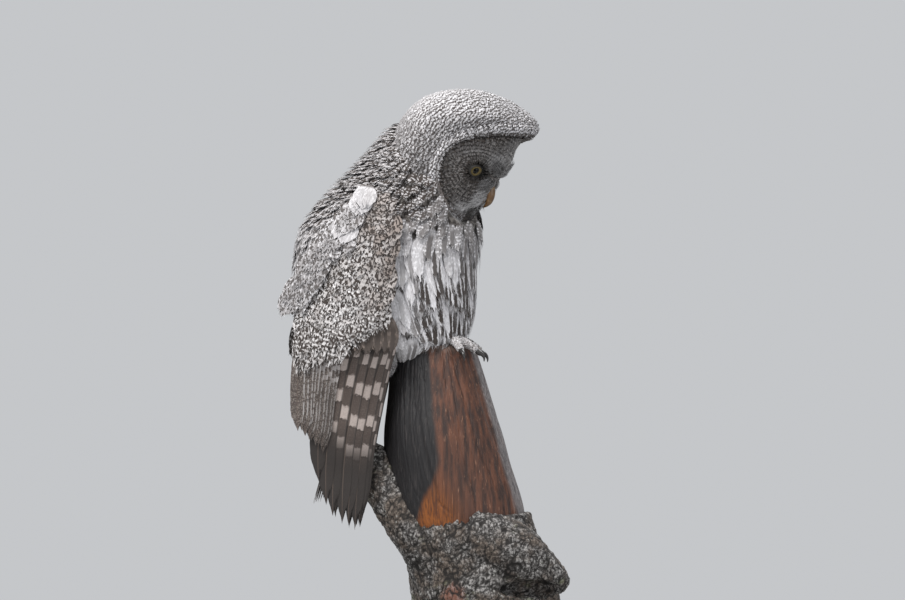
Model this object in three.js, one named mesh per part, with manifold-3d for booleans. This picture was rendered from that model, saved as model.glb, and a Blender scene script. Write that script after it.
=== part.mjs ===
// A great grey owl, life size, leaning forward on a broken branch stub and looking down over
// its right side. Millimetres, +Z up, beak side towards +X, origin under the middle of the base.

import * as THREE from 'three';
import { mergeVertices } from 'three/addons/utils/BufferGeometryUtils.js';
import Module from 'manifold-3d';

const wasm = await Module();
wasm.setup();

// Gap kept between pieces that touch
const gap = 0.3;

// Stand
const base = { length: 320, width: 250, thick: 12, corner: 26 };
const rod = { radius: 9, apart: 64, atX: 22 };
const perchFoot = 40;

// Head: pose of the head about the middle of the face, and the sizes of the facial disc
const head = {
  place: new THREE.Vector3(50, -42, 629),
  turnToRight: THREE.MathUtils.degToRad(34),
  bowDown: THREE.MathUtils.degToRad(36),
  roll: THREE.MathUtils.degToRad(-3),
};
const disc = { radius: 72, setBack: 50, dish: 8, ridge: 14, thick: 5, eyeSide: 25, eyeUp: 1 };
const eye = { radius: 11.5, sunk: 9, lid: 1.5, turnOut: THREE.MathUtils.degToRad(20) };

// Thickness of one vane at its edges and at its shaft, and the step from vane to vane
const vane = { edge: 0.55, shaft: 0.8, step: 1.15 };

// Small sums

const mix = (from, to, share) => from + (to - from) * share;
const spread = (count, make) => Array.from({ length: count }, (_, k) => make(k / (count - 1), k));

// Value of a row of stations at a share 0 to 1 along them, rounded through every station
function along(stations, share) {
  const last = stations.length - 1;
  const at = THREE.MathUtils.clamp(share, 0, 1) * last;
  const i = Math.min(Math.floor(at), last - 1);
  const t = at - i;
  const pick = (k) => stations[THREE.MathUtils.clamp(k, 0, last)];
  return pick(i).map((_, column) => {
    const [a, b, c, d] = [i - 1, i, i + 1, i + 2].map((k) => pick(k)[column]);
    const square = (2 * a - 5 * b + 4 * c - d) * t * t;
    const cube = (3 * b - a - 3 * c + d) * t ** 3;
    return 0.5 * (2 * b + (c - a) * t + square + cube);
  });
}

// Stations worked out again at a finer, even spacing
const refine = (stations, count) => spread(count, (share) => along(stations, share));

// Straight-line value between rows [key, a, b, ...] for a key that falls along them
function between(rows, key) {
  const rising = rows[0][0] < rows[rows.length - 1][0];
  const sorted = rising ? rows : [...rows].reverse();
  const last = sorted.length - 1;
  if (key <= sorted[0][0]) return sorted[0].slice(1);
  if (key >= sorted[last][0]) return sorted[last].slice(1);
  const i = sorted.findIndex((row) => row[0] > key) - 1;
  const raw = (key - sorted[i][0]) / (sorted[i + 1][0] - sorted[i][0]);
  const share = raw * raw * (3 - 2 * raw);
  return sorted[i].slice(1).map((value, k) => mix(value, sorted[i + 1][k + 1], share));
}

// Solids

function meshFrom(points, faces) {
  const geometry = new THREE.BufferGeometry();
  const values = points.flatMap((point) => point.toArray());
  geometry.setAttribute('position', new THREE.Float32BufferAttribute(values, 3));
  geometry.setIndex(faces.flat());
  return geometry;
}

// Six times the signed volume, which tells whether the faces point out
function signedVolume(geometry) {
  const at = geometry.attributes.position;
  const corner = (i) => new THREE.Vector3().fromBufferAttribute(at, geometry.index.getX(i));
  let sum = 0;
  for (let i = 0; i < geometry.index.count; i += 3) {
    sum += corner(i).dot(corner(i + 1).cross(corner(i + 2)));
  }
  return sum;
}

function solidFrom(geometry, matrix = new THREE.Matrix4()) {
  const bare = geometry.clone().applyMatrix4(matrix);
  bare.deleteAttribute('normal');
  bare.deleteAttribute('uv');
  const merged = mergeVertices(bare, 1e-4);
  const index = merged.index.array;
  if (signedVolume(merged) < 0) {
    for (let i = 0; i < index.length; i += 3) {
      [index[i + 1], index[i + 2]] = [index[i + 2], index[i + 1]];
    }
  }
  return new wasm.Manifold(new wasm.Mesh({
    numProp: 3,
    vertProperties: Float32Array.from(merged.attributes.position.array),
    triVerts: Uint32Array.from(index),
  }));
}

// The largest closed surface of a solid, as a geometry
function geometryFrom(solid) {
  const pieces = solid.decompose();
  const largest = pieces.reduce((best, piece) => (piece.volume() > best.volume() ? piece : best));
  const mesh = largest.getMesh();
  const geometry = new THREE.BufferGeometry();
  geometry.setAttribute('position', new THREE.BufferAttribute(mesh.vertProperties, 3));
  geometry.setIndex(new THREE.BufferAttribute(mesh.triVerts, 1));
  geometry.computeVertexNormals();
  return geometry;
}

const joined = (solids) => solids.reduce((sum, solid) => sum.add(solid));

// A closed body through rings of points that all have the same count, capped at both ends
function loft(rings) {
  const count = rings[0].length;
  const points = rings.flat();
  const faces = [];
  for (let i = 0; i + 1 < rings.length; i += 1) {
    for (let j = 0; j < count; j += 1) {
      const a = i * count + j;
      const b = i * count + ((j + 1) % count);
      faces.push([a, b, b + count], [a, b + count, a + count]);
    }
  }
  for (const [ring, turned] of [[0, true], [rings.length - 1, false]]) {
    const middle = points.length;
    const sum = rings[ring].reduce((total, p) => total.add(p), new THREE.Vector3());
    points.push(sum.divideScalar(count));
    for (let j = 0; j < count; j += 1) {
      const a = ring * count + j;
      const b = ring * count + ((j + 1) % count);
      faces.push(turned ? [middle, b, a] : [middle, a, b]);
    }
  }
  return meshFrom(points, faces);
}

// A ring about a centre, with a half length along one direction and a half width along another;
// a power of 2 gives an ellipse and a higher one a squarer ring
function ringPoints(centre, lengthWay, halfLength, widthWay, halfWidth, count, power = 2) {
  const bent = (value) => Math.sign(value) * Math.abs(value) ** (2 / power);
  return Array.from({ length: count }, (_, j) => {
    const angle = (2 * Math.PI * j) / count;
    return centre.clone()
      .addScaledVector(lengthWay, halfLength * bent(Math.cos(angle)))
      .addScaledVector(widthWay, halfWidth * bent(Math.sin(angle)));
  });
}

// A round limb along stations [x, y, z, radius], each ring square to the way it runs
function limb(stations, sides, flatten = 1) {
  const centres = stations.map(([x, y, z]) => new THREE.Vector3(x, y, z));
  const rings = stations.map((station, i) => {
    const before = centres[Math.max(i - 1, 0)];
    const after = centres[Math.min(i + 1, centres.length - 1)];
    const way = after.clone().sub(before).normalize();
    const side = new THREE.Vector3(-way.z, 0, way.x);
    if (side.length() < 0.2) side.set(1, 0, 0);
    side.normalize();
    const other = way.clone().cross(side).normalize();
    return ringPoints(centres[i], side, station[3] * flatten, other, station[3], sides);
  });
  return loft(rings);
}

// A closed sheet. Each row holds cells { low, high } of points, and both faces are split into
// triangles alike, so that a thin curved sheet never crosses itself
function sheet(rows) {
  const columns = rows[0].length;
  const lows = rows.flat().map((cell) => cell.low);
  const highs = rows.flat().map((cell) => cell.high);
  const top = lows.length;
  const faces = [];
  const quad = (a, b, c, d) => faces.push([a, b, c], [a, c, d]);
  for (let i = 0; i + 1 < rows.length; i += 1) {
    for (let j = 0; j + 1 < columns; j += 1) {
      const a = i * columns + j;
      const [b, c, d] = [a + 1, a + columns + 1, a + columns];
      quad(top + a, top + b, top + c, top + d);
      faces.push([a, c, b], [a, d, c]);
    }
    const first = i * columns;
    const end = first + columns - 1;
    quad(first, top + first, top + first + columns, first + columns);
    quad(end, end + columns, top + end + columns, top + end);
  }
  const lastRow = (rows.length - 1) * columns;
  for (let j = 0; j + 1 < columns; j += 1) {
    quad(j, j + 1, top + j + 1, top + j);
    quad(lastRow + j, top + lastRow + j, top + lastRow + j + 1, lastRow + j + 1);
  }
  return meshFrom([...lows, ...highs], faces);
}

// Outlines of feathers: [share of the length, share of the full width]
const longFeather = [[0, 0.5], [0.35, 1], [0.84, 0.9], [1, 0.22]];
const shortFeather = [[0, 0.6], [0.62, 1], [1, 0.38]];

// One vane on a surface, where place(a, b, height) turns flat coordinates into a point. It runs
// from root to tip at a height that rises along it and tilts across it, bowed to one side
function vaneOn(place, { root, tip, width, low, rise = 0, tilt = 0, bow = 0, outline = longFeather }) {
  const run = new THREE.Vector2().subVectors(tip, root);
  const across = new THREE.Vector2(-run.y, run.x).normalize();
  return solidFrom(sheet(outline.map(([share, wide]) => {
    const centre = root.clone().addScaledVector(run, share)
      .addScaledVector(across, bow * 4 * share * (1 - share));
    return (outline === longFeather ? [-1, 0, 1] : [-1, 1]).map((edge) => {
      const at = centre.clone().addScaledVector(across, (edge * width * wide) / 2);
      const height = low + rise * share + (tilt * edge * width * wide) / 2;
      const thick = edge === 0 ? vane.shaft : vane.edge;
      return { low: place(at.x, at.y, height), high: place(at.x, at.y, height + thick) };
    });
  })));
}

// Seeded draws for the small differences from feather to feather
function drawsFrom(seed) {
  let state = seed;
  return () => {
    state = (Math.imul(state, 1664525) + 1013904223) >>> 0;
    return state / 2 ** 32 - 0.5;
  };
}

// Torso and neck: sections [back x, back z, front x, front z, half width] from vent to nape
const bodySections = [
  [-96, 372, -48, 368, 26],
  [-150, 394, 6, 392, 66],
  [-188, 436, 23, 427, 77],
  [-212, 490, 30, 475, 89],
  [-214, 548, 34, 519, 90],
  [-190, 592, 39, 548, 86],
  [-157, 630, 42, 572, 84],
  [-121, 666, 40, 596, 82],
  [-94, 696, 30, 622, 74],
  [-64, 716, 12, 650, 56],
];
const bodySides = 20;
const bodyRings = 12;
const sideways = new THREE.Vector3(0, 1, 0);

function bodyShape(grow = 0) {
  return loft(refine(bodySections, bodyRings).map(([backX, backZ, frontX, frontZ, halfWidth]) => {
    const back = new THREE.Vector3(backX, 0, backZ);
    const front = new THREE.Vector3(frontX, 0, frontZ);
    const centre = back.clone().lerp(front, 0.5);
    const length = back.distanceTo(front) / 2 + grow;
    const way = front.sub(back).normalize();
    return ringPoints(centre, way, length, sideways, halfWidth + grow, bodySides, 2.15);
  }));
}

// Everything above a plane through two points of the middle plane, as a large slab
function above(from, to, lift = 0) {
  const size = 900;
  const way = new THREE.Vector3().subVectors(to, from).normalize();
  const up = new THREE.Vector3(-way.z, 0, way.x);
  const middle = from.clone().lerp(to, 0.5).addScaledVector(up, size / 2 + lift);
  const matrix = new THREE.Matrix4().makeBasis(way, sideways.clone().negate(), up).setPosition(middle);
  return solidFrom(new THREE.BoxGeometry(size, size, size), matrix);
}

// Head frame: first axis out of the face, second to the owl's left, third to its crown
function headMatrix() {
  const turned = new THREE.Euler(head.roll, head.bowDown, -head.turnToRight, 'ZYX');
  return new THREE.Matrix4().makeRotationFromEuler(turned).setPosition(head.place);
}
const toHead = headMatrix();

// Head sections [up, front, back, half width] from the throat to the crown
const headSections = [
  [-94, -36, -92, 30],
  [-83, -18, -118, 62],
  [-62, -7, -140, 80],
  [-32, -9, -153, 89],
  [0, -11, -156, 92],
  [27, -9, -150, 91],
  [50, -3, -136, 86],
  [70, 8, -114, 76],
  [84, 15, -90, 62],
  [93, 11, -66, 42],
  [97, -1, -46, 18],
];
const headSides = 20;
const headRings = 13;

function headShape(grow = 0) {
  return loft(refine(headSections, headRings).map(([up, front, back, halfWidth]) => {
    const centre = new THREE.Vector3((front + back) / 2, 0, up + (grow * up) / 100);
    const out = new THREE.Vector3(1, 0, 0);
    return ringPoints(centre, out, (front - back) / 2 + grow, sideways, halfWidth + grow, headSides);
  }));
}

// How far the face stands out at a place of the disc: it falls back to both sides, is dished
// about each eye, and has a feathered ridge between the eyes down to the bill
function faceOut(left, up) {
  const side = disc.setBack * (left / disc.radius) ** 2;
  const away = ((Math.abs(left) - disc.eyeSide) ** 2 + (up - disc.eyeUp) ** 2) / (2 * 21 ** 2);
  const ridge = disc.ridge * Math.exp(-((left / 12) ** 2) - ((up - 6) / 46) ** 4);
  return ridge - side - disc.dish * Math.exp(-away);
}

// One side of the facial disc as a sheet, from the middle line out to the rim
function faceSide(side, { from, grow, front, back }) {
  const rows = 8;
  const columns = 5;
  const radius = disc.radius + grow;
  return sheet(Array.from({ length: rows }, (_, i) => {
    const up = -radius * Math.cos((Math.PI * (i + 0.55)) / (rows + 0.1));
    const rim = Math.sqrt(radius ** 2 - up ** 2);
    return Array.from({ length: columns }, (__, j) => {
      const left = side * mix(from, rim, j / (columns - 1));
      const out = faceOut(left, up);
      return {
        low: new THREE.Vector3(out - back, left, up),
        high: new THREE.Vector3(out + front, left, up),
      };
    });
  }));
}

// Flat tapered feathers laid in a ring about the eye, out to the rim of the disc
function ruff(side) {
  const draw = drawsFrom(17 + side);
  const count = 9;
  const place = (left, up, height) => new THREE.Vector3(faceOut(left, up) + height, left, up);
  const eyeAt = new THREE.Vector2(side * disc.eyeSide, disc.eyeUp);
  return spread(count, (share) => {
    const angle = THREE.MathUtils.degToRad(mix(-98, 98, share) + 3 * draw());
    const way = new THREE.Vector2(side * Math.cos(angle), Math.sin(angle));
    const inward = -eyeAt.dot(way);
    const toRim = inward + Math.sqrt(inward ** 2 + disc.radius ** 2 - eyeAt.lengthSq());
    return vaneOn(place, {
      root: eyeAt.clone().addScaledVector(way, toRim * 0.45),
      tip: eyeAt.clone().addScaledVector(way, toRim * 0.9),
      width: toRim * 0.38,
      low: -1.2,
      rise: 2.2,
      tilt: 0.06 * side,
      outline: shortFeather,
    });
  });
}

// Room cut for the whole disc, reaching some way out in front of it
function discRoom(front, matrix) {
  const span = { from: gap / 2, grow: gap, front, back: disc.thick + gap };
  const halves = [-1, 1].map((side) => solidFrom(faceSide(side, span), matrix));
  const seam = new THREE.BoxGeometry(front + 12, 1.2, 2 * disc.radius - 6).translate(front / 2, 0, 0);
  return joined([...halves, solidFrom(seam, matrix)]);
}

// Eyeball and lids of one side
function eyePlace(side) {
  const left = side * disc.eyeSide;
  const way = new THREE.Vector3(Math.cos(eye.turnOut), side * Math.sin(eye.turnOut), 0);
  const surface = new THREE.Vector3(faceOut(left, disc.eyeUp), left, disc.eyeUp);
  return { way, centre: surface.addScaledVector(way, -eye.sunk + 4) };
}

function ball(centre, radius, round = 12) {
  const shape = new THREE.SphereGeometry(radius, round, Math.round(round * 0.6));
  return solidFrom(shape.translate(centre.x, centre.y, centre.z));
}

// The opening between the lids: an upright oval along the way the eye looks
function lidOpening(side) {
  const { way, centre } = eyePlace(side);
  const shape = new THREE.CylinderGeometry(9.6, 9.6, 30, 12).translate(0, 15, 0).scale(1, 1, 0.86);
  const across = new THREE.Vector3(-way.y, way.x, 0);
  const upright = new THREE.Vector3(0, 0, 1);
  const matrix = new THREE.Matrix4().makeBasis(across, way, upright.negate()).setPosition(centre);
  return solidFrom(shape, matrix);
}

// Bill sections [out, up, half height, half width] along each mandible
const upperBill = [
  [-4, -8, 7, 7],
  [6, -12, 7, 6.8],
  [13, -19, 6.2, 6],
  [16.6, -27, 4.8, 4.6],
  [16.4, -34, 2.9, 2.8],
  [14.2, -40, 0.9, 0.8],
];
const lowerBill = [
  [-6, -23, 4, 6],
  [2, -28, 3.6, 5.2],
  [7.4, -32.5, 2.7, 3.8],
  [9.8, -36.5, 1.1, 1.5],
];

function mandible(sections, grow = 0) {
  const rings = sections.map(([out, up, halfHeight, halfWidth], i) => {
    const before = sections[Math.max(i - 1, 0)];
    const after = sections[Math.min(i + 1, sections.length - 1)];
    const way = new THREE.Vector3(after[0] - before[0], 0, after[1] - before[1]).normalize();
    const square = new THREE.Vector3(-way.z, 0, way.x);
    const isEnd = i === 0 || i === sections.length - 1;
    const push = i === 0 ? -grow : grow;
    const centre = new THREE.Vector3(out, 0, up).addScaledVector(way, isEnd ? push : 0);
    return ringPoints(centre, square, halfHeight + grow, sideways, halfWidth + grow, 12);
  });
  return solidFrom(loft(rings));
}

function nostril(side) {
  return ball(new THREE.Vector3(10.5, side * 6.4, -14), 1.8, 8);
}

// Folded wings. Each feather is laid out by its place in the side view, and the wing's surface
// gives how far it stands from the middle plane: [height, half breadth, where widest, fall]
const wingBreadths = [
  [120, 62, -150, 22],
  [210, 66, -150, 24],
  [300, 78, -140, 34],
  [392, 92, -122, 40],
  [470, 101, -106, 42],
  [540, 103, -98, 43],
  [585, 96, -96, 43],
  [640, 82, -92, 43],
];

function wingBreadth(x, z) {
  const [breadth, widest, fall] = between(wingBreadths, z);
  return breadth - fall * ((x - widest) / 100) ** 2;
}

// A point of the wing of one side, at a height over the wing's surface
function onWing(side, x, z, height) {
  const step = 0.5;
  const slopeX = (wingBreadth(x + step, z) - wingBreadth(x - step, z)) / (2 * step);
  const slopeZ = (wingBreadth(x, z + step) - wingBreadth(x, z - step)) / (2 * step);
  const outward = new THREE.Vector3(-slopeX, side, -slopeZ).normalize();
  return new THREE.Vector3(x, side * wingBreadth(x, z), z).addScaledVector(outward, height);
}

// A plate over a stretch of the wing from rows [z, back x, front x, low, high], which may be
// grown all round so that it can be cut from a neighbour
function wingPlate(side, rows, columns, grow = 0) {
  const last = rows.length - 1;
  return solidFrom(sheet(rows.map(([z, backX, frontX, low, high], i) =>
    spread(columns, (share) => {
      const x = mix(backX - grow, frontX + grow, share);
      const level = z + (i === 0 ? grow : 0) - (i === last ? grow : 0);
      return { low: onWing(side, x, level, low - grow), high: onWing(side, x, level, high + grow) };
    }))));
}

// Flesh of the folded arm, from the shoulder down to the roots of the flight feathers
const armCore = (side, grow) => wingPlate(side, [
  [612, -112, -98, -16, 1],
  [598, -132, -82, -18, 1.5],
  [570, -152, -77, -18, 1.5],
  [530, -178, -84, -18, 1.5],
  [490, -202, -89, -18, 1.5],
  [438, -214, -96, -18, 1.5],
], 5, grow);

// Upper half of the folded wing: its core with four tiers of short coverts over each other
function wingArm(side) {
  const draw = drawsFrom(31 + side);
  const place = (x, z, height) => onWing(side, x, z, height);
  const tiers = [
    { top: 598, back: -128, front: -90, count: 3, long: 44 },
    { top: 564, back: -152, front: -89, count: 4, long: 50 },
    { top: 525, back: -176, front: -95, count: 4, long: 56 },
    { top: 484, back: -198, front: -100, count: 5, long: 54 },
  ];
  const vanes = tiers.flatMap(({ top, back, front, count, long }) => spread(count, (share) => {
    const x = mix(back, front, share);
    const z = top - 6 * share + 5 * draw();
    return vaneOn(place, {
      root: new THREE.Vector2(x, z),
      tip: new THREE.Vector2(x - 17 + 6 * share, z - long * (1 + 0.12 * draw())),
      width: 27,
      low: 0.4,
      rise: 3.6,
      tilt: -0.07,
      outline: shortFeather,
    });
  }));
  return joined([armCore(side), ...vanes]);
}

// Plates that hold the roots of the secondaries and of the greater coverts over them
const secondaryPlates = (side, grow) => wingPlate(side, [
  [440, -215, -152, -9, -0.5],
  [398, -219, -154, -9, -0.5],
], 4, grow).add(wingPlate(side, [
  [440, -215, -98, -3.4, 0],
  [424, -217, -106, -3.4, 0],
], 5, grow));

// Rear half: secondaries stacked under the innermost one, with the greater coverts over them
function wingSecondaries(side) {
  const draw = drawsFrom(47 + side);
  const place = (x, z, height) => onWing(side, x, z, height);
  const quills = spread(7, (share, k) => vaneOn(place, {
    root: new THREE.Vector2(mix(-162, -210, share), 412),
    tip: new THREE.Vector2(mix(-184, -212, share) + 3 * draw(), mix(252, 284, share) + 8 * draw()),
    width: 25,
    low: -9.3 + k * vane.step,
    bow: -3,
  }));
  const coverts = spread(6, (share) => {
    const x = mix(-203, -108, share);
    const end = share < 0.6 ? mix(366, 384, share / 0.6) : mix(384, 420, (share - 0.6) / 0.4);
    return vaneOn(place, {
      root: new THREE.Vector2(x, 434),
      tip: new THREE.Vector2(x - 14 + 4 * share, end + 6 * draw()),
      width: 29,
      low: -1,
      rise: 1.4,
      tilt: -0.05,
      outline: shortFeather,
    });
  });
  return joined([secondaryPlates(side), ...quills, ...coverts]).subtract(armCore(side, gap));
}

// Hand of the wing: primaries fanned from the front edge back, with their short coverts
function wingPrimaries(side) {
  const draw = drawsFrom(59 + side);
  const place = (x, z, height) => onWing(side, x, z, height);
  const rootPlate = wingPlate(side, [
    [440, -166, -90, -19.4, -9.6],
    [400, -168, -66, -19.4, -9.6],
  ], 5);
  const quills = spread(8, (share, k) => vaneOn(place, {
    root: new THREE.Vector2(mix(-70, -158, share), 416),
    tip: new THREE.Vector2(
      mix(-127, -188, share) + 3 * draw(),
      mix(154, 206, share ** 2) - 52 * share * (1 - share) + 8 * draw(),
    ),
    width: mix(25, 29, share),
    low: -19.2 + k * vane.step,
    bow: -3,
  }));
  const coverts = spread(4, (share) => vaneOn(place, {
    root: new THREE.Vector2(mix(-132, -80, share), 434),
    tip: new THREE.Vector2(mix(-137, -92, share), 388 + 5 * draw()),
    width: 19,
    low: -10.2,
    rise: 2.4,
    tilt: -0.07,
    outline: shortFeather,
  }));
  const whole = joined([rootPlate, ...quills, ...coverts]);
  return whole.subtract(armCore(side, gap)).subtract(secondaryPlates(side, gap));
}

// Shoulder feathers that run down beside the back, over the arm
function wingScapulars(side) {
  const draw = drawsFrom(73 + side);
  const place = (x, z, height) => onWing(side, x, z, height);
  const core = wingPlate(side, [
    [606, -138, -120, 6, 8],
    [575, -168, -140, 6, 8],
    [545, -190, -158, 6, 8],
    [505, -214, -182, 6, 8],
    [478, -224, -204, 6, 8],
  ], 4);
  const tiers = [
    { top: 596, back: -138, front: -124, count: 2 },
    { top: 560, back: -171, front: -148, count: 2 },
    { top: 528, back: -196, front: -168, count: 3 },
    { top: 490, back: -217, front: -193, count: 3 },
  ];
  const vanes = tiers.flatMap(({ top, back, front, count }) => spread(count, (share) => {
    const root = new THREE.Vector2(mix(back, front, share), top - 8 * share);
    return vaneOn(place, {
      root,
      tip: new THREE.Vector2(root.x - 19 + 4 * draw(), root.y - 56 + 7 * draw()),
      width: 24,
      low: 7,
      rise: 2.4,
      tilt: -0.07,
      outline: shortFeather,
    });
  }));
  return joined([core, ...vanes]);
}

// Tail: a folded fan hanging from under the rump
const tail = {
  root: new THREE.Vector3(-118, 0, 420),
  tip: new THREE.Vector3(-184, 0, 176),
  halfRoot: 20,
  halfTip: 40,
};

function onTail(share, across, height) {
  const way = new THREE.Vector3().subVectors(tail.tip, tail.root).normalize();
  const backward = new THREE.Vector3(way.z, 0, -way.x);
  const arch = 6 * (1 - (across / tail.halfTip) ** 2);
  return tail.root.clone().lerp(tail.tip, share)
    .addScaledVector(sideways, across)
    .addScaledVector(backward, height + arch);
}

// Tail feathers stacked from the outermost pair up to the middle pair
function tailShape() {
  const draw = drawsFrom(83);
  const length = tail.root.distanceTo(tail.tip);
  const place = (across, down, height) => onTail(down / length, across, height);
  const pairs = 6;
  const halfThick = 7.5;
  const rootPlate = solidFrom(sheet([0, 0.16].map((share) => [-1, 0, 1].map((at) => ({
    low: onTail(share, at * tail.halfRoot, -halfThick),
    high: onTail(share, at * tail.halfRoot, halfThick),
  })))));
  const quills = Array.from({ length: 2 * pairs }, (_, k) => {
    const out = 1 - Math.floor(k / 2) / (pairs - 1);
    const side = k % 2 === 0 ? -1 : 1;
    return vaneOn(place, {
      root: new THREE.Vector2(side * mix(3, 13, out), 10),
      tip: new THREE.Vector2(side * mix(5, 26, out), length * (1 - 0.05 * out) + 4 * draw()),
      width: mix(32, 25, out),
      low: -6.9 + k * vane.step,
    });
  });
  return joined([rootPlate, ...quills]);
}

// Perch: a bare broken stub, and the bark-covered branch below it with a side limb and a lip
const trunkSides = 18;
const stubSections = [
  [-32, 0, 397, 53],
  [-29, 0, 385, 58],
  [-24, 0, 340, 68],
  [-18, 0, 283, 80],
  [-8, 0, 225, 86],
  [8, 0, 165, 88],
  [18, 0, 130, 80],
];
const branchSections = [
  [44, 0, perchFoot, 104],
  [36, 0, 88, 101],
  [20, 0, 130, 97],
  [14, 0, 168, 90],
];
const limbSections = [
  [14, -18, 92, 62],
  [-38, -18, 140, 48],
  [-72, -12, 176, 38],
  [-98, -2, 214, 34],
  [-114, 0, 246, 23],
  [-122, -2, 262, 8],
];
const lipSections = [
  [20, -48, 140, 46],
  [70, -58, 118, 44],
  [112, -56, 92, 34],
  [140, -50, 76, 22],
  [153, -46, 68, 12],
];

// Upright wood through stations [x, y, z, radius], a little flatter from side to side
function trunkShape(stations, way, flatness) {
  return solidFrom(loft(stations.map(([x, y, z, radius]) => {
    const centre = new THREE.Vector3(x, y, z);
    return ringPoints(centre, way, radius, sideways, radius * flatness, trunkSides);
  })));
}

function stubShape(grow = 0) {
  const middle = 250;
  const grown = refine(stubSections, 8).map(([x, y, z, radius]) =>
    [x, y, z + grow * Math.sign(z - middle), radius + grow]);
  return trunkShape(grown, new THREE.Vector3(1, 0, 0.12).normalize(), 0.94);
}

function branchShape() {
  const trunk = trunkShape(refine(branchSections, 5), new THREE.Vector3(1, 0, 0), 0.9);
  const side = solidFrom(limb(refine(limbSections, 6), 10));
  const lip = solidFrom(limb(refine(lipSections, 5), 10));
  const hollow = new THREE.SphereGeometry(1, 12, 7).scale(44, 36, 13).rotateY(0.16).translate(104, -82, 66);
  const under = new THREE.BoxGeometry(900, 900, 200).translate(0, 0, perchFoot - 100);
  const whole = joined([trunk, side, lip]).subtract(solidFrom(hollow));
  return whole.subtract(solidFrom(under)).subtract(stubShape(gap));
}

// Legs, feet and claws
const stance = { apart: 33, x: -6, ankle: 406 };
const toes = [
  { way: 18, length: 38, drop: 15, hook: 0.8 },
  { way: -14, length: 42, drop: 16, hook: 0.8 },
  { way: 66, length: 35, drop: 14, hook: 0.8 },
  { way: 178, length: 28, drop: 0, hook: 0.12 },
];

// Stations down one toe from the middle of the foot to where its claw starts
function toeLine(side, toe, grow = 0) {
  const angle = THREE.MathUtils.degToRad(toe.way) * side;
  const way = new THREE.Vector3(Math.cos(angle), Math.sin(angle), 0);
  return [0, 0.36, 0.72, 1].map((share) => {
    const reach = toe.length * share;
    const fall = toe.drop * share ** 2.4;
    return [
      stance.x + way.x * reach,
      side * stance.apart + way.y * reach,
      stance.ankle - fall,
      mix(10.5, 6.2, Math.sqrt(share)) + grow,
    ];
  });
}

function footShape(side, grow = 0) {
  return joined(toes.map((toe) => solidFrom(limb(toeLine(side, toe, grow), 7))));
}

// A claw leaves its toe square to the toe's end face, then hooks down
function clawShape(side, toe, grow = 0) {
  const line = toeLine(side, toe).map(([x, y, z]) => new THREE.Vector3(x, y, z));
  const end = line[line.length - 1];
  const way = end.clone().sub(line[line.length - 2]).normalize();
  const flatWay = new THREE.Vector3(way.x, way.y, 0).normalize();
  const down = new THREE.Vector3(0, 0, -1);
  const start = end.clone().addScaledVector(way, gap - grow);
  const length = 13 + 2 * grow;
  const stations = [0, 0.35, 0.7, 1].map((share) => {
    const turn = share * THREE.MathUtils.degToRad(58);
    const place = start.clone()
      .addScaledVector(way, 4 + grow)
      .addScaledVector(flatWay, length * share * Math.cos(turn))
      .addScaledVector(down, length * share * toe.hook * (0.3 + Math.sin(turn)));
    return [place.x, place.y, place.z, mix(3.5, 0.35, share ** 1.2) + grow];
  });
  return solidFrom(limb([[start.x, start.y, start.z, 3.7 + grow], ...stations], 6));
}

// Hollow under the front of the belly where the feet grip the rim, made smaller by a gap
function footRoom(shrink = 0) {
  const shape = new THREE.SphereGeometry(1, 18, 9);
  shape.scale(42 - shrink, 62 - shrink, 21 - shrink).translate(12, 0, 401);
  return solidFrom(shape);
}

function legShape(side) {
  return solidFrom(limb([
    [-40, side * 40, 446, 30],
    [-24, side * 37, 430, 24],
    [-12, side * 34, 418, 16],
    [stance.x, side * stance.apart, stance.ankle + 2, 12.5],
  ], 10));
}

// The whole, piece by piece

const owl = new THREE.Group();
const headGroup = new THREE.Group();
headGroup.applyMatrix4(toHead);
owl.add(headGroup);

function add(name, solid, look, group = owl) {
  const material = new THREE.MeshStandardMaterial(look);
  const mesh = new THREE.Mesh(geometryFrom(solid), material);
  mesh.name = name;
  group.add(mesh);
}

const looks = {
  plumage: { color: '#8d8881', roughness: 0.95, metalness: 0 },
  wing: { color: '#5d544b', roughness: 0.9, metalness: 0 },
  face: { color: '#77706a', roughness: 0.95, metalness: 0 },
  foot: { color: '#b5aea2', roughness: 0.95, metalness: 0 },
  eye: { color: '#8f8a3c', roughness: 0.1, metalness: 0 },
  bill: { color: '#b59a45', roughness: 0.45, metalness: 0 },
  claw: { color: '#1b1918', roughness: 0.4, metalness: 0 },
  wood: { color: '#5e3624', roughness: 0.75, metalness: 0 },
  bark: { color: '#4e4a47', roughness: 0.95, metalness: 0 },
  steel: { color: '#1e1f20', roughness: 0.5, metalness: 0 },
};
const sides = { right: -1, left: 1 };

const billRoom = mandible(upperBill, gap).add(mandible(lowerBill, gap));
const headWhole = solidFrom(headShape());
const eyeSockets = joined(Object.values(sides).map((side) =>
  ball(eyePlace(side).centre, eye.radius + eye.lid + 2 * gap)));
const headSolid = headWhole.subtract(discRoom(70)).subtract(eyeSockets).subtract(billRoom);
add('head', headSolid, looks.plumage, headGroup);

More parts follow.
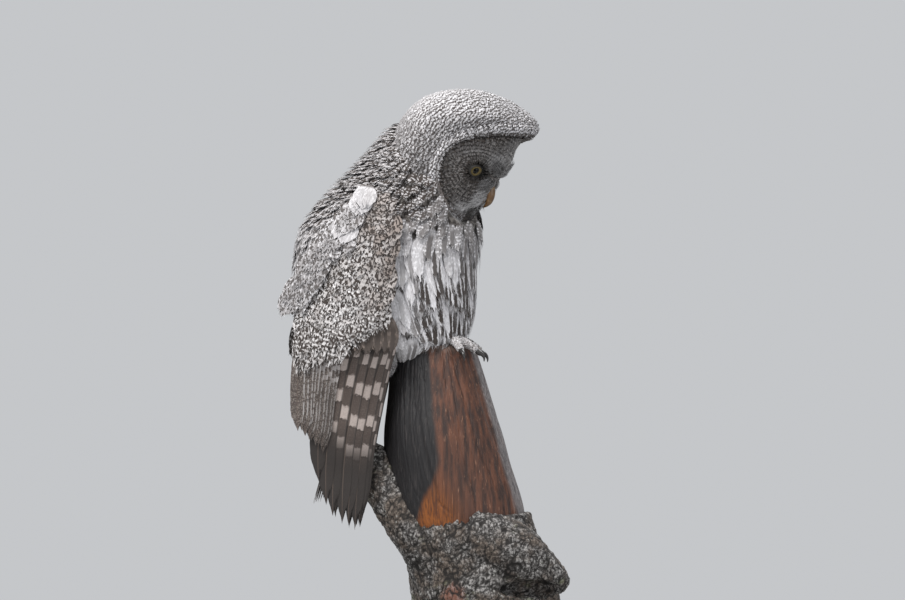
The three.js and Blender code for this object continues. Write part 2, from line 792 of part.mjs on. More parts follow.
for (const [name, side] of Object.entries(sides)) {
  const { centre, way } = eyePlace(side);
  const lids = ball(centre, eye.radius + eye.lid + gap).subtract(lidOpening(side));
  const face = solidFrom(faceSide(side, { from: gap / 2, grow: 0, front: 0, back: disc.thick }));
  const ruffed = joined([face, lids, ...ruff(side)]);
  const disced = ruffed.subtract(ball(centre, eye.radius + gap)).subtract(billRoom);
  add(`face_disc_${name}`, disced, looks.face, headGroup);
  const cornea = ball(centre.clone().addScaledVector(way, 4.6), 8.2, 14);
  const eyeball = ball(centre, eye.radius).add(cornea.intersect(lidOpening(side)));
  add(`eye_${name}`, eyeball, looks.eye, headGroup);
}
const nostrils = nostril(-1).add(nostril(1));
add('bill_upper', mandible(upperBill).subtract(nostrils), looks.bill, headGroup);
add('bill_lower', mandible(lowerBill).subtract(mandible(upperBill, gap)), looks.bill, headGroup);

// Body and neck meet along a slanted plane, and both stop short of the head and the perch
const neckPlane = [new THREE.Vector3(-181, 0, 596), new THREE.Vector3(40, 0, 536)];
const headTaken = solidFrom(headShape(gap), toHead);
const bodyWhole = solidFrom(bodyShape()).subtract(headTaken).subtract(discRoom(26, toHead));
const feetTaken = joined(Object.values(sides).flatMap((side) =>
  [footShape(side, 2 * gap), clawShape(side, toes[3], 3 * gap)]));
const stubTouched = stubShape(gap);
add('neck', bodyWhole.intersect(above(...neckPlane, gap / 2)), looks.plumage);
const torso = bodyWhole.subtract(above(...neckPlane, -gap / 2)).subtract(stubShape(2)).subtract(footRoom());
add('torso', torso.subtract(feetTaken), looks.plumage);

const bodyTaken = solidFrom(bodyShape(gap)).subtract(footRoom(gap));
add('tail', tailShape().subtract(bodyTaken), looks.wing);

for (const [name, side] of Object.entries(sides)) {
  add(`wing_${name}_arm`, wingArm(side).subtract(bodyTaken), looks.wing);
  add(`wing_${name}_secondaries`, wingSecondaries(side).subtract(bodyTaken), looks.wing);
  add(`wing_${name}_primaries`, wingPrimaries(side).subtract(bodyTaken), looks.wing);
  add(`wing_${name}_scapulars`, wingScapulars(side).subtract(bodyTaken), looks.plumage);
  const footTaken = footShape(side, gap);
  add(`leg_${name}`, legShape(side).subtract(bodyTaken).subtract(footTaken), looks.foot);
  add(`foot_${name}`, footShape(side).subtract(stubTouched), looks.foot);
  for (const [i, toe] of toes.entries()) {
    add(`claw_${name}_${i + 1}`, clawShape(side, toe).subtract(stubTouched), looks.claw);
  }
}

add('perch_stub', stubShape(), looks.wood);
add('perch_branch', branchShape(), looks.bark);

// Display stand: a flat base with round corners and two short rods up to the cut end
function baseShape() {
  const outline = new THREE.Shape();
  const [x, y, r] = [base.length / 2, base.width / 2, base.corner];
  outline.moveTo(-x + r, -y);
  outline.lineTo(x - r, -y).absarc(x - r, -y + r, r, -Math.PI / 2, 0);
  outline.lineTo(x, y - r).absarc(x - r, y - r, r, 0, Math.PI / 2);
  outline.lineTo(-x + r, y).absarc(-x + r, y - r, r, Math.PI / 2, Math.PI);
  outline.lineTo(-x, -y + r).absarc(-x + r, -y + r, r, Math.PI, 1.5 * Math.PI);
  return new THREE.ExtrudeGeometry(outline, { depth: base.thick, bevelEnabled: false, curveSegments: 4 });
}
add('stand_base', solidFrom(baseShape()), looks.steel);
for (const [name, way] of [['front', 1], ['back', -1]]) {
  const length = perchFoot - base.thick - 2 * gap;
  const shape = new THREE.CylinderGeometry(rod.radius, rod.radius, length, 12).rotateX(Math.PI / 2);
  shape.translate(rod.atX + (way * rod.apart) / 2, 0, base.thick + gap + length / 2);
  add(`stand_rod_${name}`, solidFrom(shape), looks.steel);
}

export default owl;
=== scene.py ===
import bpy
import numpy as np
from mathutils import Matrix, Vector


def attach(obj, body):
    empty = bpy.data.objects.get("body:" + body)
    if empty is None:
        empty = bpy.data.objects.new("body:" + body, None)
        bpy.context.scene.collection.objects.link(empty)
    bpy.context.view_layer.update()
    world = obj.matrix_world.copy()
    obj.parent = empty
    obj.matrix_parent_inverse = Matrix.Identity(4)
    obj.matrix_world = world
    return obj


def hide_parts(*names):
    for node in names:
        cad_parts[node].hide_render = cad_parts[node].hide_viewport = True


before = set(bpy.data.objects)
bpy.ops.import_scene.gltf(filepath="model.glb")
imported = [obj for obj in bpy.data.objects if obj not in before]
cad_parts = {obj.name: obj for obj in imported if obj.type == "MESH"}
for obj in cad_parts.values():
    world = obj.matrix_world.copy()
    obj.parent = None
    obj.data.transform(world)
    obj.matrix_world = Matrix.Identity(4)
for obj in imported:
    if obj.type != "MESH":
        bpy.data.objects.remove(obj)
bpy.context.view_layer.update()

# Stand plate: a flat steel plate with round corners and a softened upper edge, powder coated
# in dark grey. It carries the two rods and replaces the tree that held the branch.


def new_piece(name, points, quads=(), triangles=()):
    """A mesh object from arrays: points in millimetres, then faces of four and of three corners."""
    mesh = bpy.data.meshes.new(name)
    quads = np.asarray(quads, np.int32).reshape(-1, 4)
    triangles = np.asarray(triangles, np.int32).reshape(-1, 3)
    corners = np.concatenate([quads.ravel(), triangles.ravel()])
    sizes = np.concatenate([np.full(len(quads), 4), np.full(len(triangles), 3)])
    mesh.vertices.add(len(points))
    mesh.vertices.foreach_set("co", (np.asarray(points) * 0.001).astype(np.float32).ravel())
    mesh.loops.add(len(corners))
    mesh.loops.foreach_set("vertex_index", corners.astype(np.int32))
    mesh.polygons.add(len(sizes))
    mesh.polygons.foreach_set("loop_start", (np.cumsum(sizes) - sizes).astype(np.int32))
    mesh.polygons.foreach_set("use_smooth", np.ones(len(sizes), bool))
    mesh.update(calc_edges=True)
    piece = bpy.data.objects.new(name, mesh)
    bpy.context.scene.collection.objects.link(piece)
    return piece


def settle(piece, material, slot, *nodes):
    """Gives a piece its material, fixes it to the model and hides the named solids. The slot is not
    used.
    """
    piece.data.materials.append(material)
    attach(piece, "root")
    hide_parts(*nodes)
    return piece


def circle(count):
    """The angles of evenly spaced points once round."""
    return np.linspace(0, 2 * np.pi, count, endpoint=False)


def grid_faces(rows, columns, closed=False):
    """The faces of four corners in a grid of points, row by row. A closed grid also joins the
    last point of each row to its first."""
    steps = columns if closed else columns - 1
    i, j = np.meshgrid(np.arange(rows - 1), np.arange(steps), indexing="ij")
    k = (j + 1) % columns
    low, high = i * columns, (i + 1) * columns
    return np.stack([low + j, low + k, high + k, high + j], -1).reshape(-1, 4)


def skin_rings(rings):
    """A closed surface through rings of points, rings.shape = (rings, points, 3): neighbours on
    each ring and the next make a face, and a fan to the ring's mean point closes each end."""
    count, around = rings.shape[:2]
    points = np.concatenate([rings.reshape(-1, 3), rings[:1].mean(1), rings[-1:].mean(1)])
    j = np.arange(around)
    k = (j + 1) % around
    last = (count - 1) * around
    low = np.stack([k, j, np.full(around, count * around)], -1)
    high = np.stack([last + j, last + k, np.full(around, count * around + 1)], -1)
    return points, grid_faces(count, around, closed=True), np.concatenate([low, high])


class Paint:
    """A material's nodes, added one after the other and joined by their sockets' names."""

    def __init__(self, name, **settings):
        self.material = bpy.data.materials.new(name)
        self.material.use_nodes = True
        self.tree = self.material.node_tree
        self.shader = self.tree.nodes["Principled BSDF"]
        for socket, value in settings.items():
            self.shader.inputs[socket.replace("_", " ")].default_value = value

    def put(self, target, value):
        if isinstance(value, bpy.types.NodeSocket):
            self.tree.links.new(value, target)
        else:
            target.default_value = value

    def node(self, kind, output=0, inputs=(), **settings):
        made = self.tree.nodes.new("ShaderNode" + kind)
        for key, value in settings.items():
            setattr(made, key, value)
        for socket, value in dict(inputs).items():
            self.put(made.inputs[socket], value)
        return made.outputs[output]

    def math(self, operation, first, second=0.0, third=0.0):
        return self.node("Math", 0, {0: first, 1: second, 2: third}, operation=operation)

    def times(self, first, second):
        return self.math("MULTIPLY", first, second)

    def plus(self, first, second):
        return self.math("ADD", first, second)

    def times_plus(self, first, second, third):
        return self.math("MULTIPLY_ADD", first, second, third)

    def attribute(self, name, output="Vector"):
        return self.node("Attribute", output, attribute_name=name)

    def object_place(self):
        return self.node("TexCoord", "Object")

    def parts(self, vector):
        split = self.tree.nodes.new("ShaderNodeSeparateXYZ")
        self.tree.links.new(vector, split.inputs[0])
        return split.outputs[0], split.outputs[1], split.outputs[2]

    def stretched(self, vector, scale):
        return self.node("Mapping", 0, {"Vector": vector, "Scale": scale})

    def noise(self, vector, scale, detail=3.0, roughness=0.55, output="Fac"):
        inputs = {"Vector": vector, "Scale": scale, "Detail": detail, "Roughness": roughness}
        return self.node("TexNoise", output, inputs)

    def band(self, value, low, high):
        """0 below low and 1 above high, with a soft step between."""
        inputs = {"Value": value, "From Min": low, "From Max": high}
        return self.node("MapRange", 0, inputs, interpolation_type="SMOOTHSTEP")

    def blend(self, share, first, second):
        made = self.tree.nodes.new("ShaderNodeMix")
        made.data_type = "RGBA"
        for socket, value in ((0, share), (6, first), (7, second)):
            self.put(made.inputs[socket], value)
        return made.outputs[2]

    def colour(self, value):
        self.put(self.shader.inputs["Base Color"], value)

    def rough(self, value):
        self.put(self.shader.inputs["Roughness"], value)

    def bump(self, height, strength, distance):
        inputs = {"Height": height, "Strength": strength, "Distance": distance}
        self.put(self.shader.inputs["Normal"], self.node("Bump", 0, inputs))


steel = Paint("stand_powder_coat", Metallic=0.0, IOR=1.5)
place = steel.object_place()
speckle = steel.noise(place, 900.0, 2.0)
cloud = steel.noise(place, 14.0, 3.0)
steel.colour(steel.blend(cloud, (0.022, 0.023, 0.025, 1), (0.034, 0.035, 0.037, 1)))
steel.rough(steel.times_plus(speckle, 0.22, 0.36))
steel.bump(speckle, 0.35, 0.0003)

# Half sizes of the plate with its corner radius, and its edge as steps of inset and height
plate_half = np.array([160.0, 125.0])
plate_corner = 26.0
edge_steps = [(1.2, 0.0), (0.3, 0.35), (0, 1.2), (0, 10.2), (0.25, 11.2), (0.9, 11.8), (1.9, 12)]
edge_steps += [(8, 12), (40, 12)]
innermost_inset = 20


def plate_ring(inset, height, around=160):
    """A round-cornered outline: the centre of each corner's arc, moved out along the arc's angle."""
    angle = circle(around) + np.pi / around
    way = np.stack([np.cos(angle), np.sin(angle)], -1)
    corner = np.sign(way) * (plate_half - plate_corner)
    flat = corner + way * (plate_corner - (inset if inset < plate_corner else innermost_inset))
    return np.column_stack([flat, np.full(around, height)])


plate = new_piece("stand_plate", *skin_rings(np.stack([plate_ring(*step) for step in edge_steps])))
settle(plate, steel.material, "stand", "stand_base")

# Rods: two short round steel rods with a low collar where each stands on the plate. They
# reach into the cut end of the branch and are coated like the plate.


def turned(centre, profile, around=40):
    """A turned shape: each (radius, height) of the profile becomes a circle about the centre."""
    angle = circle(around)
    ring = np.stack([np.cos(angle), np.sin(angle), np.zeros(around)], -1)
    return np.stack([centre + ring * radius + (0, 0, height) for radius, height in profile])


rod_profile = [(13, 12.3), (13, 14), (12.4, 14.8), (9.6, 15.2)]
rod_profile += [(9.1, 16), (9, 17), (9, 38.6), (8.5, 39.4)]
for name, rod_x in (("front", 54.0), ("back", -10.0)):
    rod = new_piece(f"rod_{name}", *skin_rings(turned(np.array([rod_x, 0, 0]), rod_profile)))
    settle(rod, steel.material, "stand", f"stand_rod_{name}")

# Branch: the bark-covered lower part of the perch, with a side limb that rises behind the tail
# and a thick lip of healed bark over a hollow. It is one piece of wood, cut flat at its foot.


def along(stations, share):
    """Stations read at shares 0 to 1 along them: a cubic runs smoothly through every station."""
    stations = np.asarray(stations, float)
    last = len(stations) - 1
    at = np.clip(share, 0, 1) * last
    i = np.minimum(at.astype(int), last - 1)
    t = (at - i)[..., None]
    a, b, c, d = (stations[np.clip(i + k, 0, last)] for k in (-1, 0, 1, 2))
    square = (2 * a - 5 * b + 4 * c - d) * t**2
    cube = (3 * b - a - 3 * c + d) * t**3
    return 0.5 * (2 * b + (c - a) * t + square + cube)


def limb(stations, rings, around=36):
    """A round limb along stations [x, y, z, radius]: each ring lies square to the middle line."""
    line = along(stations, np.linspace(0, 1, rings))
    centre, radius = line[:, :3], line[:, 3]
    way = np.gradient(centre, axis=0)
    way /= np.linalg.norm(way, axis=1, keepdims=True)
    side = np.cross(way, np.tile([0.05, 1.0, 0.02], (rings, 1)))
    side /= np.linalg.norm(side, axis=1, keepdims=True)
    other = np.cross(way, side)
    angle = circle(around)[None, :, None]
    ring = side[:, None] * np.cos(angle) + other[:, None] * np.sin(angle)
    return skin_rings(centre[:, None] + ring * radius[:, None, None])


def upright(stations, rings, flatness, slope=0.0, around=48):
    """Upright wood through stations [x, y, z, radius]: oval rings, higher towards +X by the slope."""
    line = along(stations, np.linspace(0, 1, rings))
    angle = circle(around)
    way = np.array([1, 0, slope]) / np.hypot(1, slope)
    ring = np.cos(angle)[:, None] * way + np.sin(angle)[:, None] * np.array([0, flatness, 0])
    return line[:, None, :3] + ring[None] * line[:, None, None, 3]


def fused(shapes, voxel, cut=None):
    """Several closed shapes made one closed surface of small even faces, less the cut shape.
    Returns its points in millimetres, the points' normals and the faces."""
    sources = [*shapes, cut] if cut else shapes
    holders = [new_piece(f"part_{i}", *shape) for i, shape in enumerate(sources)]
    body = holders[0]
    bpy.ops.object.select_all(action="DESELECT")
    for holder in holders[: len(shapes)]:
        holder.select_set(True)
    bpy.context.view_layer.objects.active = body
    bpy.ops.object.join()
    steps = ["REMESH"] + (["BOOLEAN", "REMESH"] if cut else [])
    for i, kind in enumerate(steps):
        step = body.modifiers.new(f"step_{i}", kind)
        if kind == "REMESH":
            step.mode = "VOXEL"
            step.voxel_size = voxel * 0.001
        else:
            step.operation = "DIFFERENCE"
            step.object = holders[-1]
    done = body.evaluated_get(bpy.context.evaluated_depsgraph_get()).to_mesh()
    points = np.empty(len(done.vertices) * 3, np.float32)
    done.vertices.foreach_get("co", points)
    normals = np.empty(len(done.vertices) * 3, np.float32)
    done.vertices.foreach_get("normal", normals)
    corners = np.empty(len(done.loops), np.int32)
    done.loops.foreach_get("vertex_index", corners)
    quads = corners.reshape(-1, 4)
    body.to_mesh_clear()
    for holder in [body, holders[-1]] if cut else [body]:
        bpy.data.objects.remove(holder)
    return points.reshape(-1, 3).astype(float) * 1000, normals.reshape(-1, 3).astype(float), quads


def lattice(cell, seed):
    """A repeatable value 0 to 1 for whole-number cells: large odd multiples are mixed by bits."""
    cell = cell.astype(np.int64)
    mixed = cell[..., 0] * 73856093 ^ cell[..., 1] * 19349663 ^ cell[..., 2] * 83492791 ^ seed * 7919
    mixed = (mixed & 0xFFFFFFFF) * 1274126177 & 0xFFFFFFFF
    mixed = (mixed ^ (mixed >> 15)) * 2246822519 & 0xFFFFFFFF
    return ((mixed ^ (mixed >> 13)) & 0xFFFF) / 65535.0


def clouds(points, size, seed, octaves=3):
    """Soft random heights about -1 to 1: values at the corners of cubes, blended smoothly, with
    each further layer half as large and half as strong."""
    total = np.zeros(points.shape[:-1])
    for octave in range(octaves):
        at = points / (np.asarray(size) / 2**octave)
        cell = np.floor(at)
        t = at - cell
        t = t * t * (3 - 2 * t)
        value = 0.0
        for corner in np.ndindex(2, 2, 2):
            weight = np.prod(np.where(corner, t, 1 - t), axis=-1)
            value = value + weight * lattice(cell + corner, seed + octave)
        total += (2 * value - 1) / 2**octave
    return total


def crevices(points, size, seed):
    """How near a point is to the border between random cells: 0 on a border, up to 1 inside."""
    at = points / np.asarray(size)
    cell = np.floor(at)
    near = np.full(points.shape[:-1], 9.0)
    second = near.copy()
    for corner in np.ndindex(3, 3, 3):
        other = cell + corner - 1
        middle = other + np.stack([lattice(other, seed + k) for k in range(3)], -1)
        reach = np.linalg.norm(middle - at, axis=-1)
        second = np.minimum(second, np.maximum(near, reach))
        near = np.minimum(near, reach)
    return np.clip((second - near) / 0.45, 0, 1)


def mark(piece, name, values):
    """Keeps a number or a vector for each point of a piece, for its material to read."""
    kind = "FLOAT" if np.ndim(values) == 1 else "FLOAT_VECTOR"
    layer = piece.data.attributes.new(name, kind, "POINT")
    field = "value" if kind == "FLOAT" else "vector"
    layer.data.foreach_set(field, np.asarray(values, np.float32).ravel())


trunk_line = [[44, 0, 40, 104], [36, 0, 88, 101], [20, 0, 130, 97], [14, 0, 168, 90]]
side_limb = [[14, -18, 92, 62], [-38, -18, 140, 48], [-72, -12, 176, 38]]
side_limb += [[-98, -2, 214, 34], [-114, 0, 246, 23], [-122, -2, 262, 8]]
bark_lip = [[20, -48, 140, 46], [70, -58, 118, 44], [112, -56, 92, 34]]
bark_lip += [[140, -50, 76, 22], [153, -46, 68, 12]]
hollow_size = np.array([44, 36, 13])
hollow_place = np.array([104, -82, 66])

angle = np.linspace(0, np.pi, 14)
hollow_rings = turned(np.zeros(3), np.column_stack([np.sin(angle) + 1e-3, -np.cos(angle)]))
hollow = skin_rings(hollow_rings * hollow_size + hollow_place)
wood_parts = [skin_rings(upright(trunk_line, 14, 0.9)), limb(side_limb, 24), limb(bark_lip, 20)]
points, normals, quads = fused(wood_parts, 1.9, cut=hollow)

# The bark is cracked into small plates, lumpy at three sizes, and runs a little upwards
warped = points + 5 * np.stack([clouds(points, 18, seed, 2) for seed in (3, 5, 7)], -1)
plates = crevices(warped, (7.5, 7.5, 11), 11)
big_plates = crevices(warped, (24, 24, 40), 17)
lumps = clouds(points, 30, 21, 2)
grit = clouds(points, 4, 23, 2)
cut_height = 40
foot = np.clip((points[:, 2] - cut_height) / 3, 0, 1)
relief = 1.6 * lumps + 1.5 * plates**0.6 + 1.6 * big_plates**0.5 + 0.5 * grit - 2.6
points = points + normals * (relief * foot)[:, None]
points[:, 2] = np.maximum(points[:, 2], cut_height)
branch = new_piece("branch_bark", points, quads)
mark(branch, "plates", plates)
mark(branch, "furrows", big_plates)

bark = Paint("bark_lichened", IOR=1.45)
place = bark.object_place()
plate_share = bark.attribute("plates", "Fac")
furrow_share = bark.attribute("furrows", "Fac")
patch = bark.noise(place, 26.0, 3.0)
fleck = bark.noise(place, 260.0, 3.0, 0.7)
fine = bark.noise(place, 900.0, 2.0)
grey = bark.blend(bark.band(fleck, 0.42, 0.66), (0.045, 0.041, 0.039, 1), (0.36, 0.345, 0.335, 1))
warm = bark.blend(bark.band(fleck, 0.4, 0.7), (0.05, 0.038, 0.03, 1), (0.19, 0.155, 0.13, 1))
crust = bark.blend(bark.band(patch, 0.4, 0.6), warm, grey)
pale = bark.band(bark.noise(place, 120.0, 4.0, 0.75), 0.6, 0.68)
crust = bark.blend(bark.times(pale, 0.75), crust, (0.46, 0.455, 0.43, 1))
green = bark.band(bark.noise(bark.stretched(place, (1, 1, 1.6)), 34.0, 4.0), 0.6, 0.72)
crust = bark.blend(bark.times(green, 0.4), crust, (0.16, 0.18, 0.09, 1))
rust_at = bark.node("VectorMath", "Value", {0: place, 1: (-0.004, -0.088, 0.056)}, operation="DISTANCE")
rust = bark.band(bark.plus(rust_at, bark.times(patch, 0.02)), 0.036, 0.022)
crust = bark.blend(bark.times(rust, 0.7), crust, (0.2, 0.075, 0.045, 1))
# Painted shade: the crevices between the bark plates, at both sizes of plate, are painted near black.
depth = bark.times(bark.band(plate_share, 0.02, 0.42), bark.band(furrow_share, 0.0, 0.22))
crust = bark.blend(depth, (0.012, 0.010, 0.009, 1), crust)
cut_face = bark.band(bark.parts(place)[2], 0.0412, 0.0404)
bark.colour(bark.blend(cut_face, crust, (0.36, 0.25, 0.15, 1)))
bark.rough(bark.times_plus(fleck, 0.2, 0.72))
bark.bump(bark.plus(fleck, bark.times(fine, 0.5)), 0.6, 0.0012)
settle(branch, bark.material, "bark", "perch_branch")

# Stub: the bare broken stump of the main stem, stripped of bark. Its wood is red-brown with a
# fine upright grain, bright orange near the bark and weathered grey in front. Its left side is
# painted near black as shade.
stub_line = [[-32, 0, 397, 53], [-29, 0, 385, 58], [-24, 0, 340, 68], [-18, 0, 283, 80]]
stub_line += [[-8, 0, 225, 86], [8, 0, 165, 88], [18, 0, 130, 80]]
stub_count, stub_around = 150, 380
stub_rings = upright(stub_line, stub_count, 0.94, 0.12, stub_around)
ring_share = np.linspace(0, 1, stub_count)[:, None]
turn = circle(stub_around)[None, :]
grain_place = np.stack(np.broadcast_arrays(
    80 * np.cos(turn) + 7 * np.sin(5 * ring_share), 80 * np.sin(turn), 260 * ring_share), -1)
grain = clouds(grain_place, (5, 5, 150), 31, 3)
waves = clouds(grain_place, (34, 34, 160), 37, 2)
splits = np.clip(1 - np.abs(clouds(grain_place, (14, 14, 120), 41, 2)) / 0.07, 0, 1)
outward = stub_rings - stub_rings.mean(1, keepdims=True)
outward /= np.linalg.norm(outward, axis=-1, keepdims=True)
swell = 0.75 * grain + 2.2 * waves - 1.5 * splits
stub_rings = stub_rings + outward * (swell * np.clip(ring_share * 12, 0.2, 1))[..., None]
# The broken top dips to a rough hollow inside the rim, in splinters of uneven height
caps = []
for share in (0.97, 0.88, 0.72, 0.5, 0.25, 0.08):
    inner = stub_rings[0].mean(0) + (stub_rings[0] - stub_rings[0].mean(0)) * share
    rough_top = clouds(inner, (6, 6, 60), 43, 3) * 4.5
    inner[:, 2] += rough_top * (0.3 + 0.7 * (share < 0.95)) - 9 * (1 - share**3)
    caps.insert(0, inner)
rings = np.concatenate([np.stack(caps), stub_rings])[::-1]
stub = new_piece("stub_wood", *skin_rings(rings))
facing = np.broadcast_to(np.cos(turn), (len(rings), stub_around)).ravel()
mark(stub, "facing", np.append(facing, [0.0, 0.0]))

wood = Paint("wood_stripped", IOR=1.5)
place = wood.object_place()
ahead = wood.attribute("facing", "Fac")
height = wood.parts(place)[2]
leaning = wood.node("Mapping", 0, {"Vector": place, "Rotation": (0, -0.12, 0), "Scale": (1, 1, 0.05)})
thread = wood.noise(leaning, 420.0, 4.0, 0.65)
strand = wood.noise(leaning, 130.0, 4.0, 0.6)
red = wood.blend(wood.band(strand, 0.35, 0.68), (0.028, 0.012, 0.008, 1), (0.125, 0.045, 0.022, 1))
red = wood.blend(wood.times(wood.band(thread, 0.58, 0.74), 0.65), red, (0.36, 0.19, 0.12, 1))
low_share = wood.band(height, 0.235, 0.165)
orange = wood.blend(wood.band(thread, 0.35, 0.65), (0.09, 0.027, 0.008, 1), (0.28, 0.085, 0.012, 1))
glow_side = wood.band(wood.times_plus(strand, 0.5, ahead), 0.42, -0.1)
glow = wood.times(low_share, glow_side)
tone = wood.blend(glow, red, orange)
wavy = wood.times_plus(strand, 0.12, ahead)
silver = wood.blend(wood.band(thread, 0.35, 0.7), (0.075, 0.068, 0.07, 1), (0.27, 0.25, 0.25, 1))
tone = wood.blend(wood.times(wood.band(wavy, 0.90, 0.97), 0.85), tone, silver)
# Painted shade: the side facing -X is painted near black, over more of the stub higher up; edge marks
# where the shade begins.
ragged = wood.times_plus(strand, 0.16, -0.2)
edge = wood.times_plus(wood.band(height, 0.25, 0.15), -0.55, ragged)
shaded_side = wood.band(wood.math("SUBTRACT", edge, ahead), -0.05, 0.05)
side_shade_colour = wood.blend(wood.band(thread, 0.5, 0.8), (0.008, 0.007, 0.008, 1), (0.06, 0.05, 0.048, 1))
tone = wood.blend(shaded_side, tone, side_shade_colour)
top = wood.band(height, 0.385, 0.400)
wood.colour(wood.blend(wood.times(top, 0.6), tone, (0.16, 0.12, 0.10, 1)))
wood.rough(wood.times_plus(thread, 0.35, 0.38))
wood.bump(wood.plus(thread, wood.times(strand, 1.2)), 0.55, 0.0016)
settle(stub, wood.material, "wood", "perch_stub")

# Skin: the bird's own body under the feathers, in one piece: torso, neck, head with the flat
# of the face, folded arms and thighs. It is covered in mottled grey down, and carries the coat.


class Chart:
    """A surface kept as a table of points and outward normals over two numbers, a and b, read
    between its places by straight blending. least is the fewest millimetres that one unit of a
    or b stands for, so that no step grows without end at a pole."""

    def __init__(self, surface, a_range, b_range, size, outward=1.0):
        ranges = np.array([a_range, b_range])
        self.low = ranges[:, 0]
        self.step = (ranges[:, 1] - ranges[:, 0]) / (np.array(size) - 1)
        sides = [np.linspace(*a_range, size[0]), np.linspace(*b_range, size[1])]
        a, b = np.meshgrid(*sides, indexing="ij")
        points = surface(a, b)
        by_a = np.gradient(points, self.step[0], axis=0)
        by_b = np.gradient(points, self.step[1], axis=1)
        normals = np.cross(by_b, by_a) * outward
        normals /= np.linalg.norm(normals, axis=-1, keepdims=True) + 1e-12
        reach = np.stack([np.linalg.norm(by_a, axis=-1), np.linalg.norm(by_b, axis=-1)], -1)
        self.least = 0.05 * np.median(reach, axis=(0, 1))
        self.table = np.concatenate([points, normals, reach], -1)

    def read(self, a, b):
        at = (np.stack([a, b], -1) - self.low) / self.step
        size = np.array(self.table.shape[:2])
        at = np.clip(at, 0, size - 1.001)
        i, j = np.moveaxis(at.astype(int), -1, 0)
        s, t = np.moveaxis(at - at.astype(int), -1, 0)[..., None]
        table = self.table
        low = table[i, j] * (1 - t) + table[i, j + 1] * t
        return low * (1 - s) + (table[i + 1, j] * (1 - t) + table[i + 1, j + 1] * t) * s

    def at(self, a, b, height=0.0):
        """The point at a height over the surface, along its normal."""
        row = self.read(a, b)
        return row[..., :3] + row[..., 3:6] * np.asarray(height)[..., None]


body_line = [[-96, 372, -48, 368, 26], [-150, 394, 6, 392, 66], [-188, 436, 23, 427, 77]]
body_line += [[-212, 490, 30, 475, 89], [-214, 548, 34, 519, 90], [-190, 592, 39, 548, 86]]
body_line += [[-157, 630, 42, 572, 84], [-121, 666, 40, 596, 82], [-94, 696, 30, 622, 74]]
body_line += [[-64, 716, 12, 650, 56]]


def body_surface(share, turn, inset=0.0):
    """Slanted oval rings from the vent, share 0, to the nape, share 1. A turn of 0 is the breast,
    pi the back, and between them the owl's left; the ring's cosine runs from front to back."""
    line = along(body_line, share)
    zero = np.zeros_like(line[..., 0])
    back = np.stack([line[..., 0], zero, line[..., 1]], -1)
    front = np.stack([line[..., 2], zero, line[..., 3]], -1)
    half = (front - back) / 2
    size = np.linalg.norm(half, axis=-1, keepdims=True)
    shrink = np.maximum(size - inset, 2) / size
    sideways = np.stack([zero, np.maximum(line[..., 4] - inset, 2), zero], -1)
    ahead, aside = np.cos(turn)[..., None], np.sin(turn)[..., None]
    return (back + front) / 2 + half * shrink * ahead + sideways * aside


body = Chart(body_surface, (0, 1), (-np.pi, np.pi), (200, 260))

# The head: sections [up, front, back, half width] in its own frame, whose first axis points
# out of the face, the second to the owl's left and the third to the crown
head_line = [[-94, -36, -92, 30], [-83, -18, -118, 62], [-62, -7, -140, 80], [-32, -9, -153, 89]]
head_line += [[0, -11, -156, 92], [27, -9, -150, 91], [50, -3, -136, 86], [70, 8, -114, 76]]
head_line += [[84, 15, -90, 62], [93, 11, -66, 42], [97, -1, -46, 18]]
head_turn = Matrix.Rotation(np.radians(-34), 3, "Z") @ Matrix.Rotation(np.radians(36), 3, "Y")
head_turn = np.array(head_turn @ Matrix.Rotation(np.radians(-3), 3, "X"))
head_place = np.array([50.0, -42, 629])
head_middle = np.array([-75.0, 0, 4])


def from_head(points):
    """Points of the head's frame in the model's frame."""
    return points @ head_turn.T + head_place


def to_head(points):
    return (points - head_place) @ head_turn


fine_head = along(head_line, np.linspace(0, 1, 500))


def head_excess(points):
    """Below 0 inside the head: each level is an oval about the middle between front and back."""
    up = points[..., 2]
    front, back, half = (np.interp(up, fine_head[:, 0], fine_head[:, k]) for k in (1, 2, 3))
    size = np.maximum((front - back) / 2, 1)
    oval = ((points[..., 0] - (front + back) / 2) / size) ** 2 + (points[..., 1] / half) ** 2
    return np.where((up > -94) & (up < 97), oval - 1, 9)


def head_way(polar, turn):
    """A direction at a polar angle from the face's axis: a turn of 0 is up, positive to the left."""
    return np.stack([np.cos(polar), np.sin(polar) * np.sin(turn), np.sin(polar) * np.cos(turn)], -1)


def head_reach(polar, turn):
    """How far the head's surface lies from its middle that way, found by halving the distance."""
    way = head_way(polar, turn)
    low, high = np.zeros(polar.shape), np.full(polar.shape, 180.0)
    for _ in range(26):
        half = (low + high) / 2
        inside = head_excess(head_middle + way * half[..., None]) < 0
        low, high = np.where(inside, half, low), np.where(inside, high, half)
    return low


# The reach is kept for each degree, and each place is six times replaced by its neighbours' mean
every_degree = np.meshgrid(np.linspace(0, np.pi, 181), np.linspace(-np.pi, np.pi, 361), indexing="ij")
reach_table = head_reach(*every_degree)
for _ in range(6):
    padded = np.concatenate([reach_table[:, -3:-1], reach_table, reach_table[:, 1:3]], 1)
    above, below = padded[2:, 2:-2], padded[:-2, 2:-2]
    reach_table[1:-1] = (above + below + padded[1:-1, 1:-3] + padded[1:-1, 3:-1]) / 4


def reach_at(polar, turn):
    """The smoothed reach, read between whole degrees by straight blending."""
    at = np.clip(polar / np.pi * 180, 0, 179.99)
    around = np.clip((turn + np.pi) / (2 * np.pi) * 360, 0, 359.99)
    i, j = at.astype(int), around.astype(int)
    s, t = at - i, around - j
    low = reach_table[i, j] * (1 - t) + reach_table[i, j + 1] * t
    return low * (1 - s) + (reach_table[i + 1, j] * (1 - t) + reach_table[i + 1, j + 1] * t) * s


